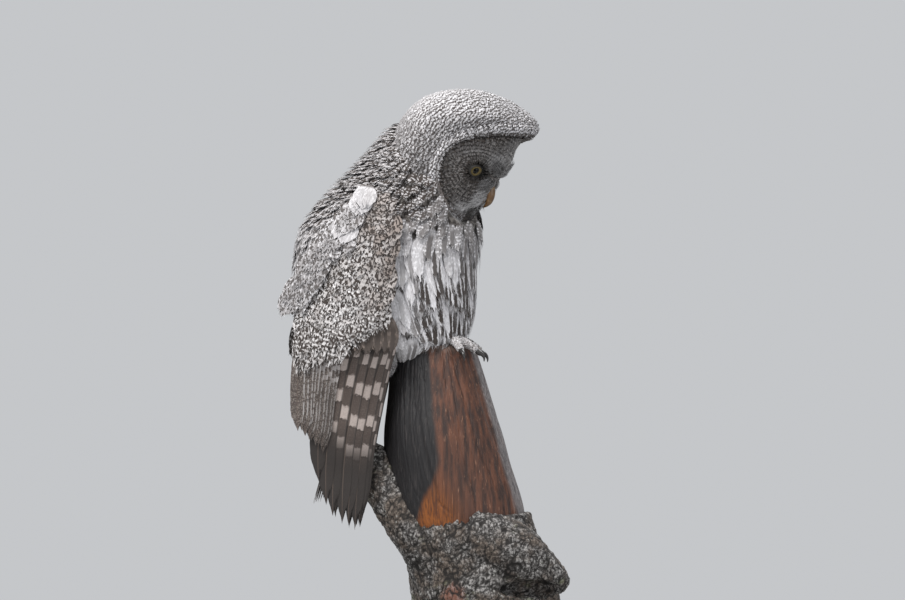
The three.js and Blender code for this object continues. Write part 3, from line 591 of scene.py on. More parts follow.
def head_surface(polar, turn, inset=0.0):
    return from_head(head_middle + head_way(polar, turn) * (reach_at(polar, turn) - inset)[..., None])


head = Chart(head_surface, (0.02, np.pi - 0.02), (-np.pi, np.pi), (220, 300))

disc_radius = 72.0
eye_side = 25.0
eye_up = 1.0


def face_out(left, up):
    """How far the face stands out: it falls back to both sides by the square of the distance,
    is dished round each eye, and has a feathered ridge between the eyes down to the bill."""
    side = 50 * (left / disc_radius) ** 2
    away = ((np.abs(left) - eye_side) ** 2 + (up - eye_up) ** 2) / (2 * 21**2)
    ridge = 14 * np.exp(-((left / 12) ** 2) - ((up - 6) / 46) ** 4)
    return ridge - side - 8 * np.exp(-away)


def face_surface(up, left):
    return from_head(np.stack([face_out(left, up), left, up], -1))


face = Chart(face_surface, (-84, 84), (-84, 84), (200, 200), outward=-1.0)

wing_breadths = [[120, 62, -150, 22], [210, 66, -150, 24], [300, 78, -140, 34], [392, 92, -122, 40]]
wing_breadths += [[470, 101, -106, 42], [540, 103, -98, 43], [585, 96, -96, 43], [640, 82, -92, 43]]


def wing_breadth(x, z):
    """Half breadth over the folded wings: rows by height, blended by a smooth step, that fall
    away in front of and behind the widest place by the square of the distance."""
    rows = np.array(wing_breadths, float)
    i = np.clip(np.searchsorted(rows[:, 0], z, side="right") - 1, 0, len(rows) - 2)
    share = np.clip((z - rows[i, 0]) / (rows[i + 1, 0] - rows[i, 0]), 0, 1)
    share = (share * share * (3 - 2 * share))[..., None]
    breadth, widest, fall = np.moveaxis(rows[i, 1:] * (1 - share) + rows[i + 1, 1:] * share, -1, 0)
    return breadth - fall * ((x - widest) / 100) ** 2


def wing_surface(side):
    return lambda x, z: np.stack([x, side * wing_breadth(x, z), z], -1)


sides = ((-1, "right"), (1, "left"))
wings = {side: Chart(wing_surface(side), (-260, -30), (110, 660), (160, 300), outward=side)
         for side, _ in sides}


def tract(z, rows):
    """The back and the front X of a part of the wing at a height, read straight between rows of
    [height, back, front] that go downwards."""
    heights, back, front = np.array(rows, float).T
    return np.interp(-z, -heights, back), np.interp(-z, -heights, front)


coat_depth = 11.0
head_coat_depth = 7.0
share, turn = np.meshgrid(np.linspace(0.0, 1, 60), circle(90), indexing="ij")
torso_rings = body_surface(share, turn, coat_depth)
half_turns = np.linspace(-np.pi, np.pi, 90, endpoint=False)
polar, turn = np.meshgrid(np.linspace(0.03, np.pi - 0.03, 60), half_turns, indexing="ij")
head_rings = head_surface(polar, turn, head_coat_depth)
# The folded arm under the coverts: a flat plate, 7 to 21 mm under the wing's surface
plate_z, plate_share = np.meshgrid(np.linspace(606, 420, 30), np.linspace(0, 1, 12), indexing="ij")
plate_back, plate_front = tract(plate_z, [
    [612, -112, -98], [598, -132, -82], [570, -152, -77], [530, -178, -84], [490, -202, -89],
    [438, -214, -92], [400, -214, -92]])
plate_back, plate_front = plate_back + 6, plate_front - 5
plate_x = plate_back + (plate_front - plate_back) * plate_share
arms = []
for side, _ in sides:
    over = wings[side].at(plate_x, plate_z, np.full(plate_x.shape, -7.0))
    under = wings[side].at(plate_x, plate_z, np.full(plate_x.shape, -21.0))
    arms.append(skin_rings(np.concatenate([over, under[:, ::-1]], 1)))
thighs = [limb([[-50, side * 40, 450, 26], [-28, side * 37, 430, 20], [-10, side * 34, 414, 12]], 12)
          for side, _ in sides]
# The room for the face, cut out of the head: rings of [radius, height over the face]
spot = circle(72)
room_rings = []
for size, out in ((2, -7), (24, -7), (48, -7), (64, -7), (74, -7), (77, 30), (77, 70), (20, 90)):
    left, up = size * np.sin(spot), size * np.cos(spot)
    base_out = face_out(left, up) if out < 60 else np.zeros(len(spot))
    room_rings.append(from_head(np.stack([base_out + out, left, up], -1)))
skin_parts = [skin_rings(torso_rings), skin_rings(head_rings), *arms, *thighs]
points, normals, quads = fused(skin_parts, 3.0, cut=skin_rings(np.stack(room_rings)[::-1]))
skin = new_piece("owl_skin", points + normals * (0.5 * clouds(points, 9, 51, 2))[:, None], quads)
down = Paint("down_grey", Sheen_Weight=0.3)
place = down.object_place()
mottle = down.band(down.noise(place, 160.0, 4.0), 0.42, 0.6)
shade = down.blend(mottle, (0.045, 0.038, 0.034, 1), (0.20, 0.18, 0.165, 1))
down.colour(shade)
down.shader.inputs["Roughness"].default_value = 0.95
down.bump(down.noise(place, 700.0, 3.0), 0.7, 0.001)
settle(skin, down.material, "plumage_body", "head", "neck", "torso", "leg_right", "leg_left")

# Body feathers: soft loose feathers in overlapping rows from the nape to the vent. Each is a
# cupped vane with free barbs past its edge, and carries its own size, shaft streak and bars.


def rooted(chart, a_range, b_range, spacing, seed):
    """Roots over a stretch of a chart in staggered rows: rows and places in a row are spaced in
    millimetres along the surface, then moved a little at random."""
    draw = np.random.default_rng(seed)
    middle = chart.read(np.array(sum(a_range) / 2), np.array(sum(b_range) / 2))
    rows = max(2, int(abs(a_range[1] - a_range[0]) * middle[6] / spacing[0]))
    found = []
    for k, a in enumerate(np.linspace(*a_range, rows)):
        b_fine = np.linspace(*b_range, 80)
        reach = chart.read(np.full(80, a), b_fine)[:, 7]
        travelled = np.concatenate([[0], np.cumsum((reach[1:] + reach[:-1]) / 2 * np.diff(b_fine))])
        count = max(1, int(travelled[-1] / spacing[1]))
        steps = (np.arange(count) + 0.5 * (k % 2) + 0.25 + draw.uniform(-0.28, 0.28, count)) / count
        b = np.interp(np.clip(steps, 0, 1) * travelled[-1], travelled, b_fine)
        found.append(np.column_stack([np.full(count, a), b]))
    roots = np.concatenate(found)
    roots[:, 0] += draw.uniform(-0.4, 0.4, len(roots)) * (a_range[1] - a_range[0]) / rows
    return roots


vane_rows = np.array([0, 0.2, 0.42, 0.62, 0.8, 0.93, 1.0])
vane_columns = np.array([-1, -0.5, 0, 0.5, 1])


def unwrap(piece, places):
    """Gives each point of a piece its place on the baked picture, in the layer OFBake."""
    corners = np.empty(len(piece.data.loops), np.int32)
    piece.data.loops.foreach_get("vertex_index", corners)
    layer = piece.data.uv_layers.new(name="OFBake")
    layer.uv.foreach_set("vector", places[corners].astype(np.float32).ravel())



def rounded_outline(share):
    """Width along a soft feather: it opens over the first third and closes in a round tip."""
    opening = np.clip(share / 0.34, 0.12, 1) ** 0.7
    closing = np.sqrt(np.clip(1 - (np.clip(share - 0.5, 0, 1) / 0.5) ** 2.4, 0.02, 1))
    return opening * closing


class Coat:
    """Gathers feathers on one chart, then makes them one mesh. A feather runs from its root by
    way, a direction along the chart's two numbers in millimetres, for its length, and rises from
    the root's height to the tip's. Its edges are lower than its shaft by the cup."""

    def __init__(self, chart, seed):
        self.chart = chart
        self.draw = np.random.default_rng(seed)
        self.batches = []

    def lay(self, roots, way, length, width, heights, marks, tone, spacing=4.0, cup=0.3, barbs=14,
            barb_reach=0.22, rows=vane_rows, tilt=0.0, ring=None):
        """Adds feathers, one for each root. Values may be one number for all or one for each.
        marks holds bars, streak and flecks, and tone holds light, warm and fringe, from 0 to 1.
        ring measures a mark's distance in place of that from the feather's tip."""
        n = len(roots)
        draw = self.draw
        full = lambda value: np.broadcast_to(np.asarray(value, float), (n,))
        length, width, spacing = full(length), full(width), full(spacing)
        root_height, tip_height = full(heights[0]), full(heights[1])
        way = np.broadcast_to(way, (n, 2))
        way = way / np.linalg.norm(way, axis=1)[:, None]
        seed = draw.random(n)
        bent = draw.uniform(-0.09, 0.09, n) * length
        lean = full(tilt) + draw.uniform(-0.08, 0.08, n)
        t = rows[None, :, None]
        s = vane_columns[None, None, :]
        grid = (n, len(rows), len(vane_columns))
        grid_t = np.broadcast_to(t, grid).reshape(n, -1)
        grid_s = np.broadcast_to(s, grid).reshape(n, -1)
        ragged = draw.uniform(-0.05, 0.05, grid_t.shape) * (grid_t > 0.6)
        share = grid_t - 0.07 * grid_s**2 * (grid_t > 0.7) + ragged
        side = grid_s * rounded_outline(grid_t)
        blocks = [(share, side, np.zeros_like(share))]
        if barbs:
            at = np.linspace(0.34, 1.0, barbs // 2)
            at = np.concatenate([at, at])[None, :] + draw.uniform(-0.03, 0.03, (n, barbs))
            hand = np.repeat([-1.0, 1.0], barbs // 2)[None, :]
            edge = hand * rounded_outline(np.clip(at, 0, 0.97)) * 0.72
            thick = (0.5 / length)[:, None]
            grow = barb_reach * (0.55 + 0.9 * draw.random((n, barbs)))
            out = 0.30 * hand * draw.uniform(0.3, 1.3, (n, barbs))
            base = np.clip(at, 0, 0.985)
            first = (base - thick, edge, np.zeros_like(edge))
            second = (base + thick, edge * 0.9, np.zeros_like(edge))
            third = (base + grow * 0.8, edge + out * (1.1 - 0.6 * at), np.full_like(edge, 0.35))
            blocks.append([np.stack(parts, -1).reshape(n, -1) for parts in zip(first, second, third)])
        share, side, free = (np.concatenate(values, 1) for values in zip(*blocks))
        across_mm = side * width[:, None] / 2
        along_mm = share * length[:, None]
        bow_mm = 4 * bent[:, None] * share * (1 - share) + bent[:, None] * share
        sideways = np.stack([-way[:, 1], way[:, 0]], -1)
        moved = along_mm[..., None] * way[:, None]
        moved = moved + (across_mm + bow_mm)[..., None] * sideways[:, None]
        row = self.chart.read(roots[:, 0], roots[:, 1])
        place = roots[:, None] + moved / np.maximum(row[:, None, 6:8], self.chart.least)
        rise = np.clip(share, 0, 1.1) ** 0.75
        height = root_height[:, None] + (tip_height - root_height)[:, None] * rise
        height = height - cup * width[:, None] / 2 * side**2 * (0.4 + 0.6 * share)
        height = height + lean[:, None] * across_mm + free * draw.uniform(-0.6, 1.4, (n, 1))
        points = self.chart.at(place[..., 0], place[..., 1], height)
        tip_mm = (1.0 - share) * length[:, None]
        stack = lambda *parts: np.stack(np.broadcast_arrays(*parts), -1)
        spread = lambda values: np.broadcast_to(
            np.broadcast_to(np.asarray(values, float), (n, 3))[:, None], points.shape)
        self.batches.append({
            "points": points, "roots": roots, "rows": len(rows), "barbs": barbs,
            "vane": stack(side, share, seed[:, None]), "marks": spread(marks), "tone": spread(tone),
            "span": stack(across_mm, tip_mm if ring is None else ring(place), spacing[:, None])})

    def make(self, name, material, slot, *nodes):
        """Joins the batches: the vane's grid in quads, each barb a long triangle. OFBake puts each
        feather on a patch 0.003 wide at its root's place on the chart."""
        points, quads, triangles, count = [], [], [], 0
        layers = {key: [] for key in ("vane", "span", "marks", "tone")}
        patches = []
        columns = len(vane_columns)
        size = self.chart.step * (np.array(self.chart.table.shape[:2]) - 1)
        for batch in self.batches:
            n, per = batch["points"].shape[:2]
            base = count + np.arange(n)[:, None, None] * per
            quads.append((grid_faces(batch["rows"], columns) + base).reshape(-1, 4))
            if batch["barbs"]:
                start = batch["rows"] * columns + 3 * np.arange(batch["barbs"])
                corner = np.stack([start, start + 1, start + 2], -1)
                triangles.append((corner[None] + base).reshape(-1, 3))
            points.append(batch["points"].reshape(-1, 3))
            for key in layers:
                layers[key].append(batch[key].reshape(-1, 3))
            home = (batch["roots"] - self.chart.low) / size * 0.96 + 0.02
            patch = (batch["vane"][..., :2] - (0, 0.5)) * (0.0012, 0.0026)
            patches.append((home[:, None] + patch).reshape(-1, 2))
            count += n * per
        triangles = np.concatenate(triangles) if triangles else ()
        piece = new_piece(name, np.concatenate(points), np.concatenate(quads), triangles)
        for key, values in layers.items():
            mark(piece, key, np.concatenate(values))
        unwrap(piece, np.concatenate(patches))
        settle(piece, material, slot, *nodes)


def inside_head(points, margin):
    """Points deeper than the margin under the head's surface."""
    local = to_head(points) - head_middle
    size = np.linalg.norm(local, axis=-1)
    polar = np.arccos(np.clip(local[..., 0] / size, -1, 1))
    turn = np.arctan2(local[..., 1], local[..., 2])
    return size < reach_at(polar, turn) - margin


def plumage_paint(name, pale=(0.90, 0.89, 0.92, 1), dull=(0.17, 0.15, 0.138, 1),
                  dark=(0.020, 0.016, 0.014, 1)):
    """Soft feather: pale web with dark bars, a shaft streak and flecks, by the marks of each
    feather, over fine hair-like streaks that run with the barbs."""
    coat = Paint(name, Sheen_Weight=0.08, Sheen_Roughness=0.5, Roughness=0.85)
    side, share, seed = coat.parts(coat.attribute("vane"))
    across, tip, spacing = coat.parts(coat.attribute("span"))
    bars, streak, flecks = coat.parts(coat.attribute("marks"))
    light, warm, fringe = coat.parts(coat.attribute("tone"))
    shifted = coat.times(seed, 90.0)
    flat = coat.node("CombineXYZ", 0, {0: across, 1: tip, 2: shifted})
    hairs = coat.noise(coat.stretched(flat, (1.5, 0.14, 1.0)), 1.0, 3.0, 0.6)
    wobble = coat.noise(flat, 0.28, 2.0)
    wave = coat.math("DIVIDE", tip, spacing)
    wave = coat.plus(wave, coat.times(wobble, 1.3))
    wave = coat.plus(wave, seed)
    ripple = coat.math("SINE", coat.times(wave, full_circle))
    bar = coat.times(coat.band(ripple, -0.2, 0.2), bars)
    offside = coat.plus(coat.math("ABSOLUTE", side), coat.times(wobble, 0.5))
    offside = coat.plus(offside, coat.times(hairs, 0.55))
    shaft = coat.times(coat.band(offside, 1.02, 0.88), coat.band(share, 0.12, 0.4))
    shaft = coat.times(shaft, streak)
    grains = coat.noise(coat.stretched(flat, (1.0, 0.65, 1.0)), 0.31, 1.0, 0.5)
    fleck = coat.times(coat.band(grains, 0.485, 0.525), flecks)
    dots = coat.math("MAXIMUM", coat.math("MAXIMUM", bar, shaft), fleck)
    rim = coat.times(coat.band(share, 0.88, 0.98), fringe)
    dots = coat.times(dots, coat.math("SUBTRACT", 1.0, rim))
    web = coat.blend(light, dull, pale)
    web = coat.blend(warm, web, (0.26, 0.175, 0.125, 1))
    gaps = coat.times(coat.band(hairs, 0.60, 0.38), 0.42)
    web = coat.blend(gaps, web, (0.17, 0.15, 0.145, 1))
    web = coat.blend(coat.band(share, 0.16, 0.02), web, (0.12, 0.105, 0.10, 1))
    ink = coat.blend(hairs, dark, (0.062, 0.047, 0.04, 1))
    coat.colour(coat.blend(dots, web, ink))
    coat.bump(hairs, 0.5, 0.0006)
    return coat.material


full_circle = 6.2832
soft_feather = plumage_paint("feather_soft")


def smooth(value, low, high):
    """0 at low and below, 1 at high and above, with a soft step between."""
    t = np.clip((value - low) / (high - low), 0, 1)
    return t * t * (3 - 2 * t)


def body_batch(coat, roots):
    """Lays body feathers with the size and markings of their place: a bold dark streak on the
    white breast, finer and more mottled marks on the neck and the mantle."""
    draw = coat.draw
    n = len(roots)
    share, turn = roots[:, 0], np.abs(roots[:, 1])
    place = body.at(share, roots[:, 1])
    front = 1 - smooth(turn, 1.15, 1.75)
    back = smooth(turn, 1.7, 2.3)
    side = 1 - front - back
    high = smooth(share, 0.47, 0.66)
    low = 1 - smooth(share, 0.12, 0.34)
    edge = smooth(turn, 0.85, 1.35) * (1 - smooth(turn, 1.6, 1.9)) * (1 - high) * (1 - low)
    length = (60 * front + 34 * back + 40 * side) * (1 - 0.5 * high) * (1 + 0.1 * low)
    width = (18.5 * front + 14 * back + 16 * side) * (1 - 0.25 * high)
    streak = front * (1.0 - 0.3 * high) * (draw.random(n) > 0.1 + 0.35 * edge) + 0.3 * back
    bars = 0.75 * high * (1 - back) + 0.45 * back + 0.2 * side
    flecks = 0.85 * back + 0.75 * high * (1 - 0.5 * back) + 0.12 * front + 0.5 * side * (1 - edge)
    light = 0.92 - 0.18 * high - 0.2 * side * (1 - edge) - 0.05 * draw.random(n)
    warm = 0.12 * back * draw.random(n) + 0.05 * draw.random(n)
    swing = draw.uniform(-0.16, 0.16, n) + 0.10 * np.sign(roots[:, 1]) * front * (1 - low)
    way = np.column_stack([-np.cos(swing), -np.sin(swing)])
    drooping = 1 - smooth(place[:, 2], 500, 640)
    hanging = 1 - smooth(place[:, 2], 470, 560)
    length = length + 14 * back * hanging
    stand = 1.5 * front + 1.2 * edge - 0.3 + back * (2.5 + 10 * drooping + 8 * hanging)
    coat.lay(roots, way, length * draw.uniform(0.85, 1.15, n), width * draw.uniform(0.85, 1.15, n),
             (np.full(n, -coat_depth + 1.5), stand + draw.uniform(-1.5, 1.2, n)),
             np.column_stack([bars, streak, flecks]), np.column_stack([light, warm, np.full(n, 0.5)]),
             spacing=5.2 - 1.2 * high, barbs=16, barb_reach=0.2 + 0.1 * front.mean())


def shown_body(roots):
    """Drops roots that lie inside the head, before the face or under the folded wings."""
    place = body.at(roots[:, 0], roots[:, 1], np.full(len(roots), -4.0))
    covered = (np.abs(place[:, 1]) > 60) & (place[:, 2] < 585) & (place[:, 0] < -98)
    front = -76 - 18 * smooth(place[:, 2], 540, 440)
    covered |= (np.abs(place[:, 1]) > 62) & (place[:, 2] < 590) & (place[:, 0] < front - 14) & (
        place[:, 0] > -200)
    local = to_head(place)
    opening = (np.hypot(local[:, 1], local[:, 2]) < 74) & (
        local[:, 0] > face_out(local[:, 1], local[:, 2]) - 9) & (local[:, 2] > -60)
    return roots[~inside_head(place, head_coat_depth) & ~covered & ~opening]


for name, turns, lowest, spacing, seed in (
        ("breast_right", (-1.9, 0), 0.05, (17.0, 9.0), 101),
        ("breast_left", (0, 1.9), 0.05, (17.0, 9.0), 103),
        ("back_right", (-np.pi, -1.9), 0.06, (8.0, 7.2), 107),
        ("back_left", (1.9, np.pi), 0.06, (8.0, 7.2), 109)):
    coat = Coat(body, seed)
    body_batch(coat, shown_body(rooted(body, (0.985, lowest), turns, spacing, seed)))
    coat.make(f"feathers_{name}", soft_feather, "plumage_body")

# Head feathers: short dense feathers that run back from the edge of the face over the crown,
# whitish with broken dark bars that line up in arcs about the face.


def head_shown(roots):
    """Keeps roots behind the rim of the disc and outside the body."""
    local = to_head(head.at(roots[:, 0], roots[:, 1]))
    radius = np.hypot(local[:, 1], local[:, 2])
    before = (radius < disc_radius + 1) & (local[:, 0] > face_out(local[:, 1], local[:, 2]) - 8)
    place = head.at(roots[:, 0], roots[:, 1], np.full(len(roots), -3.0))
    a, b = np.meshgrid(np.linspace(0.02, 0.98, 50), np.linspace(-np.pi, np.pi, 70), indexing="ij")
    row = body.read(a.ravel(), b.ravel())
    nearest = np.argmin(((place[:, None] - row[None, :, :3]) ** 2).sum(-1), axis=1)
    depth = ((place - row[nearest, :3]) * row[nearest, 3:6]).sum(-1)
    return roots[~before & (depth > -9)]


# Where the hood ends round the face: the place on the head this far from the face's own axis
hood_radius = 77.0
spot_turn = np.linspace(-np.pi, np.pi, 240)
polar_fine = np.linspace(0.1, np.pi / 2 + 0.15, 260)
from_axis = reach_at(polar_fine[:, None], spot_turn[None, :]) * np.sin(polar_fine)[:, None]
edge_polar = polar_fine[np.argmax(from_axis > hood_radius, axis=0)]
edge_reach = reach_at(edge_polar, spot_turn)[:, None]
edge_local = head_middle + head_way(edge_polar, spot_turn) * edge_reach
short_rows = np.array([0, 0.35, 0.65, 0.88, 1.0])
for name, turns, seed in (("crown_right", (-np.pi, 0), 131), ("crown_left", (0, np.pi), 137)):
    coat = Coat(head, seed)
    roots = head_shown(rooted(head, (0.5, 2.75), turns, (4.3, 5.2), seed))
    draw = coat.draw
    n = len(roots)
    polar, turn = roots[:, 0], np.abs(roots[:, 1])
    cheek = smooth(turn, 1.1, 1.9)
    nape = smooth(polar, 1.5, 2.3)
    brow = (1 - smooth(polar, 0.75, 1.25)) * (1 - cheek)
    length = 13 + 5 * nape + 4 * cheek
    width = 6.6 + 2.2 * nape + 2.4 * cheek
    swing = draw.uniform(-0.2, 0.2, n)
    way = np.column_stack([np.cos(swing), np.sin(swing)])
    bars = 0.95 - 0.25 * nape
    marks = np.column_stack([bars, 0.25 * nape + 0.2 * cheek, 0.25 + 0.45 * cheek])
    light = 0.93 - 0.14 * brow - 0.28 * cheek * draw.random(n)
    tone = np.column_stack([light, 0.10 * draw.random(n), 0.2 + 0.2 * draw.random(n)])
    coat.lay(roots, way, length * draw.uniform(0.85, 1.15, n), width * draw.uniform(0.85, 1.15, n),
             (np.full(n, -6.5), draw.uniform(-0.8, 1.2, n) - 3.0 * nape), marks, tone,
             spacing=4.8 - 0.5 * brow + 1.0 * cheek, barbs=10, barb_reach=0.2,
             rows=short_rows)
    # The hood's edge: small white-tipped feathers that point over the face's rim
    for back, reach in ((0.12, 11.0), (0.07, 9.5), (0.03, 7.5)):
        turn = np.arange(max(turns[0], -2.05), min(turns[1], 2.05), 0.046)
        turn = turn + draw.uniform(-0.014, 0.014, len(turn))
        roots = np.column_stack([np.interp(turn, spot_turn, edge_polar) + back, turn])
        n = len(roots)
        way = np.column_stack([-np.ones(n), draw.uniform(-0.3, 0.3, n)])
        coat.lay(roots, way, reach + draw.uniform(-1.5, 1.5, n), 4.6, (-2.5, 0.8), (0.9, 0.2, 0.2),
                 (0.97, 0.03, 1.0), spacing=4.4, barbs=8, barb_reach=0.25, rows=short_rows)
    coat.make(f"feathers_{name}", soft_feather, "plumage_body")

# Wings: folded along the body. Short coverts lie in rows over the arm, greater coverts over the
# roots of the long secondaries and primaries, and the scapulars hang over the wing's back edge.
covert = plumage_paint("feather_covert", pale=(0.88, 0.865, 0.87, 1), dull=(0.15, 0.118, 0.10, 1),
                       dark=(0.018, 0.014, 0.012, 1))


def covert_roots(rows, draw):
    """Rows of [height, back x, front x, count]: roots spaced evenly, then moved a little."""
    found = []
    for k, (z, back, front, count) in enumerate(rows):
        steps = (np.arange(count) + 0.5 * (k % 2) + draw.uniform(-0.2, 0.2, count)) / (count - 0.5)
        heights = z + draw.uniform(-2.5, 2.5, count)
        found.append(np.column_stack([back + (front - back) * steps, heights]))
    return np.concatenate(found)


def covert_rows(heights, edges, apart, more):
    """Rows for covert_roots between the edges of a tract, with roots about this far apart."""
    pairs = [(z, *tract(z, edges)) for z in heights]
    return [[z, back, front, int((front - back) / apart) + more] for z, back, front in pairs]


arm_edges = [[612, -118, -92], [598, -134, -80], [570, -156, -74]]
arm_edges += [[530, -182, -80], [490, -206, -86], [438, -216, -92]]
arm_rows = covert_rows(np.arange(606, 452, -9.0), arm_edges, 8.6, 2)
for side, word in sides:
    chart = wings[side]
    coat = Coat(chart, 211 + side)
    draw = coat.draw
    roots = covert_roots(arm_rows, draw)
    n = len(roots)
    low = smooth(roots[:, 1], 560, 470)
    swing = draw.uniform(-0.14, 0.14, n)
    way = np.column_stack([-0.34 + swing, -np.ones(n)])
    fore = smooth(roots[:, 0], -125, -90)
    light = 0.56 + 0.36 * low - 0.15 * fore + 0.4 * (draw.random(n) - 0.5)
    marks = np.column_stack([0.12 + 0.2 * low, 0.12 * (1 - low), np.ones(n)])
    warm = 0.35 * fore * draw.random(n) + 0.25 * draw.random(n)
    tone = np.column_stack([light, warm, 0.1 + 0.3 * draw.random(n)])
    length = 25 + 11 * low + draw.uniform(-5, 5, n)
    coat.lay(roots, way, length, 14.5 + 3.5 * low, (-2.5, 3.2), marks, tone,
             spacing=5.6, cup=0.12, barb_reach=0.16)
    # Greater coverts: two rows of long feathers over the secondaries, black and white
    n = 14
    steps = np.linspace(0, 1, n)
    for depth, drop in ((0.0, 0.0), (1.0, -16.0)):
        ends = np.interp(steps, [0, 0.6, 1], [358, 378, 420]) - drop
        roots = np.column_stack([-208 + 106 * steps, np.full(n, 446 + 4 * depth)])
        length = roots[:, 1] - ends + draw.uniform(-3, 3, n)
        way = np.column_stack([-0.17 + 0.06 * steps, -np.ones(n)])
        marks = np.column_stack([np.full(n, 0.75), 0.25 * draw.random(n), np.ones(n)])
        tone = np.column_stack([0.74 + 0.16 * draw.random(n), 0.15 * draw.random(n), np.full(n, 0.9)])
        coat.lay(roots, way, length, 19, (-1.5, 4.2 + 1.4 * depth), marks, tone,
                 spacing=6.5, cup=0.16, barb_reach=0.09, tilt=-0.05)
    # Primary coverts: narrow plain brown feathers over the roots of the primaries
    n = 7
    steps = np.linspace(0, 1, n)
    roots = np.column_stack([-134 + 46 * steps, np.full(n, 440.0)])
    coat.lay(roots, (-0.10, -1.0), 54 + draw.uniform(-3, 3, n), 17, (-5, 0.6), (0.5, 0.8, 0.55),
             (0.02, 0.15, 0.05), spacing=14, cup=0.14, barbs=10, barb_reach=0.05, tilt=-0.05)
    coat.make(f"coverts_{word}", covert, "plumage_wing", f"wing_{word}_arm")

# Scapulars: broad soft feathers beside the back, whitish with dark vermiculation, the outer ones
# nearly white, in a tract that narrows to loose tips over the wing.
scapular_edges = [[616, -124, -112], [598, -142, -122], [560, -174, -146]]
scapular_edges += [[528, -199, -168], [490, -220, -192], [478, -226, -206]]
scapular_rows = covert_rows(np.arange(616, 474, -10.0), scapular_edges, 7.5, 3)
for side, word in sides:
    coat = Coat(wings[side], 223 + side)
    draw = coat.draw
    roots = covert_roots(scapular_rows, draw)
    n = len(roots)
    front = tract(roots[:, 1], scapular_edges)[1]
    outer = smooth(roots[:, 0], front - 9, front)
    # Two round patches of white feathers, each by its distance from a middle
    white = 0.9 * ((np.hypot(roots[:, 0] + 118, roots[:, 1] - 611) < 11)
                   | (np.hypot(roots[:, 0] + 142, roots[:, 1] - 577) < 9))
    way = np.column_stack([-0.36 + draw.uniform(-0.1, 0.1, n) + 0.1 * outer, -np.ones(n)])
    marks = np.column_stack([0.4 * (1 - white), 0.3 * (1 - white) + 0.2, 0.9 - 0.68 * white])
    light = 0.88 - 0.04 * white - 0.14 * draw.random(n)
    tone = np.column_stack([light, 0.12 * draw.random(n), 0.3 + 0.6 * white])
    coat.lay(roots, way, 36 + draw.uniform(-6, 7, n), 17 + 6.0 * white, (2.5, 9.0), marks, tone,
             spacing=5.0, cup=0.24, barb_reach=0.13, tilt=-0.07)
    coat.make(f"scapulars_{word}", soft_feather, "plumage_body", f"wing_{word}_scapulars")

# Long feathers: secondaries, primaries and tail. Each is a thin stiff vane with a raised shaft,
# a slightly split edge and a rounded tip, and lies over its neighbour.
quill_rows = np.linspace(0, 1, 30)
quill_columns = np.array([-1, -0.78, -0.52, -0.25, -0.05, 0.0, 0.05, 0.25, 0.52, 0.78, 1])


def quill_outline(share):
    """Width along a long feather: narrow at its root, even to the last sixth, then rounded."""
    return np.interp(share, [0, 0.12, 0.35, 0.8, 0.9, 0.96, 1], [0.45, 0.7, 1, 0.94, 0.78, 0.52, 0.12])


def quills(name, chart, roots, tips, widths, lows, material, marks, tone, spacing, seed, bow, node):
    """One mesh of long feathers, from arrays of roots and tips on a chart and heights over it.
    marks holds blocks, mottling and dark tip, and tone holds light, nothing and fringe."""
    draw = np.random.default_rng(seed)
    n = len(roots)
    rows, columns = len(quill_rows), len(quill_columns)
    run = tips - roots
    length = np.linalg.norm(run, axis=1)
    way = run / length[:, None]
    sideways = np.column_stack([-way[:, 1], way[:, 0]])
    t = np.broadcast_to(quill_rows[None, :, None], (n, rows, columns)).reshape(n, -1)
    s = np.broadcast_to(quill_columns[None, None, :], (n, rows, columns)).reshape(n, -1)
    nick = draw.uniform(0, 1, t.shape) ** 4 * smooth(t, 0.55, 1.0)
    share = t - 0.045 * s**2 * smooth(t, 0.75, 1) - 0.035 * nick
    edge = s * quill_outline(t) * (1 - 0.07 * draw.uniform(0, 1, t.shape) ** 3 * (np.abs(s) > 0.9))
    across = edge * np.asarray(widths)[:, None] / 2
    bend = 4 * bow * share * (1 - share)
    place = roots[:, None] + (share * length[:, None])[..., None] * way[:, None]
    place = place + (across + bend)[..., None] * sideways[:, None]
    ridge = 0.55 * np.exp(-((s / 0.06) ** 2)) * (1 - 0.6 * share)
    wave = 0.35 * np.sin(share * 9 + draw.uniform(0, 6, (n, 1)) + 2 * s) * np.abs(s)
    height = np.asarray(lows)[:, None] + 0.8 + ridge + wave - 0.5 * s**2
    points = chart.at(place[..., 0], place[..., 1], height)
    faces = grid_faces(rows, columns) + np.arange(n)[:, None, None] * rows * columns
    piece = new_piece(name, points.reshape(-1, 3), faces.reshape(-1, 4))
    seeds = draw.random((n, 1))
    for key, parts in (("vane", (s, share, seeds)),
                       ("span", (across, (1 - share) * length[:, None], spacing))):
        mark(piece, key, np.stack(np.broadcast_arrays(*parts), -1).reshape(-1, 3))
    for key, values in (("marks", marks), ("tone", tone)):
        each = np.broadcast_to(values, (n, 3))[:, None]
        mark(piece, key, np.broadcast_to(each, points.shape).reshape(-1, 3))
    column = (np.arange(n)[:, None] + 0.5 + 0.42 * s) / n
    unwrap(piece, np.stack([column, 0.02 + 0.96 * t], -1).reshape(-1, 2))
    settle(piece, material, "plumage_wing", node)


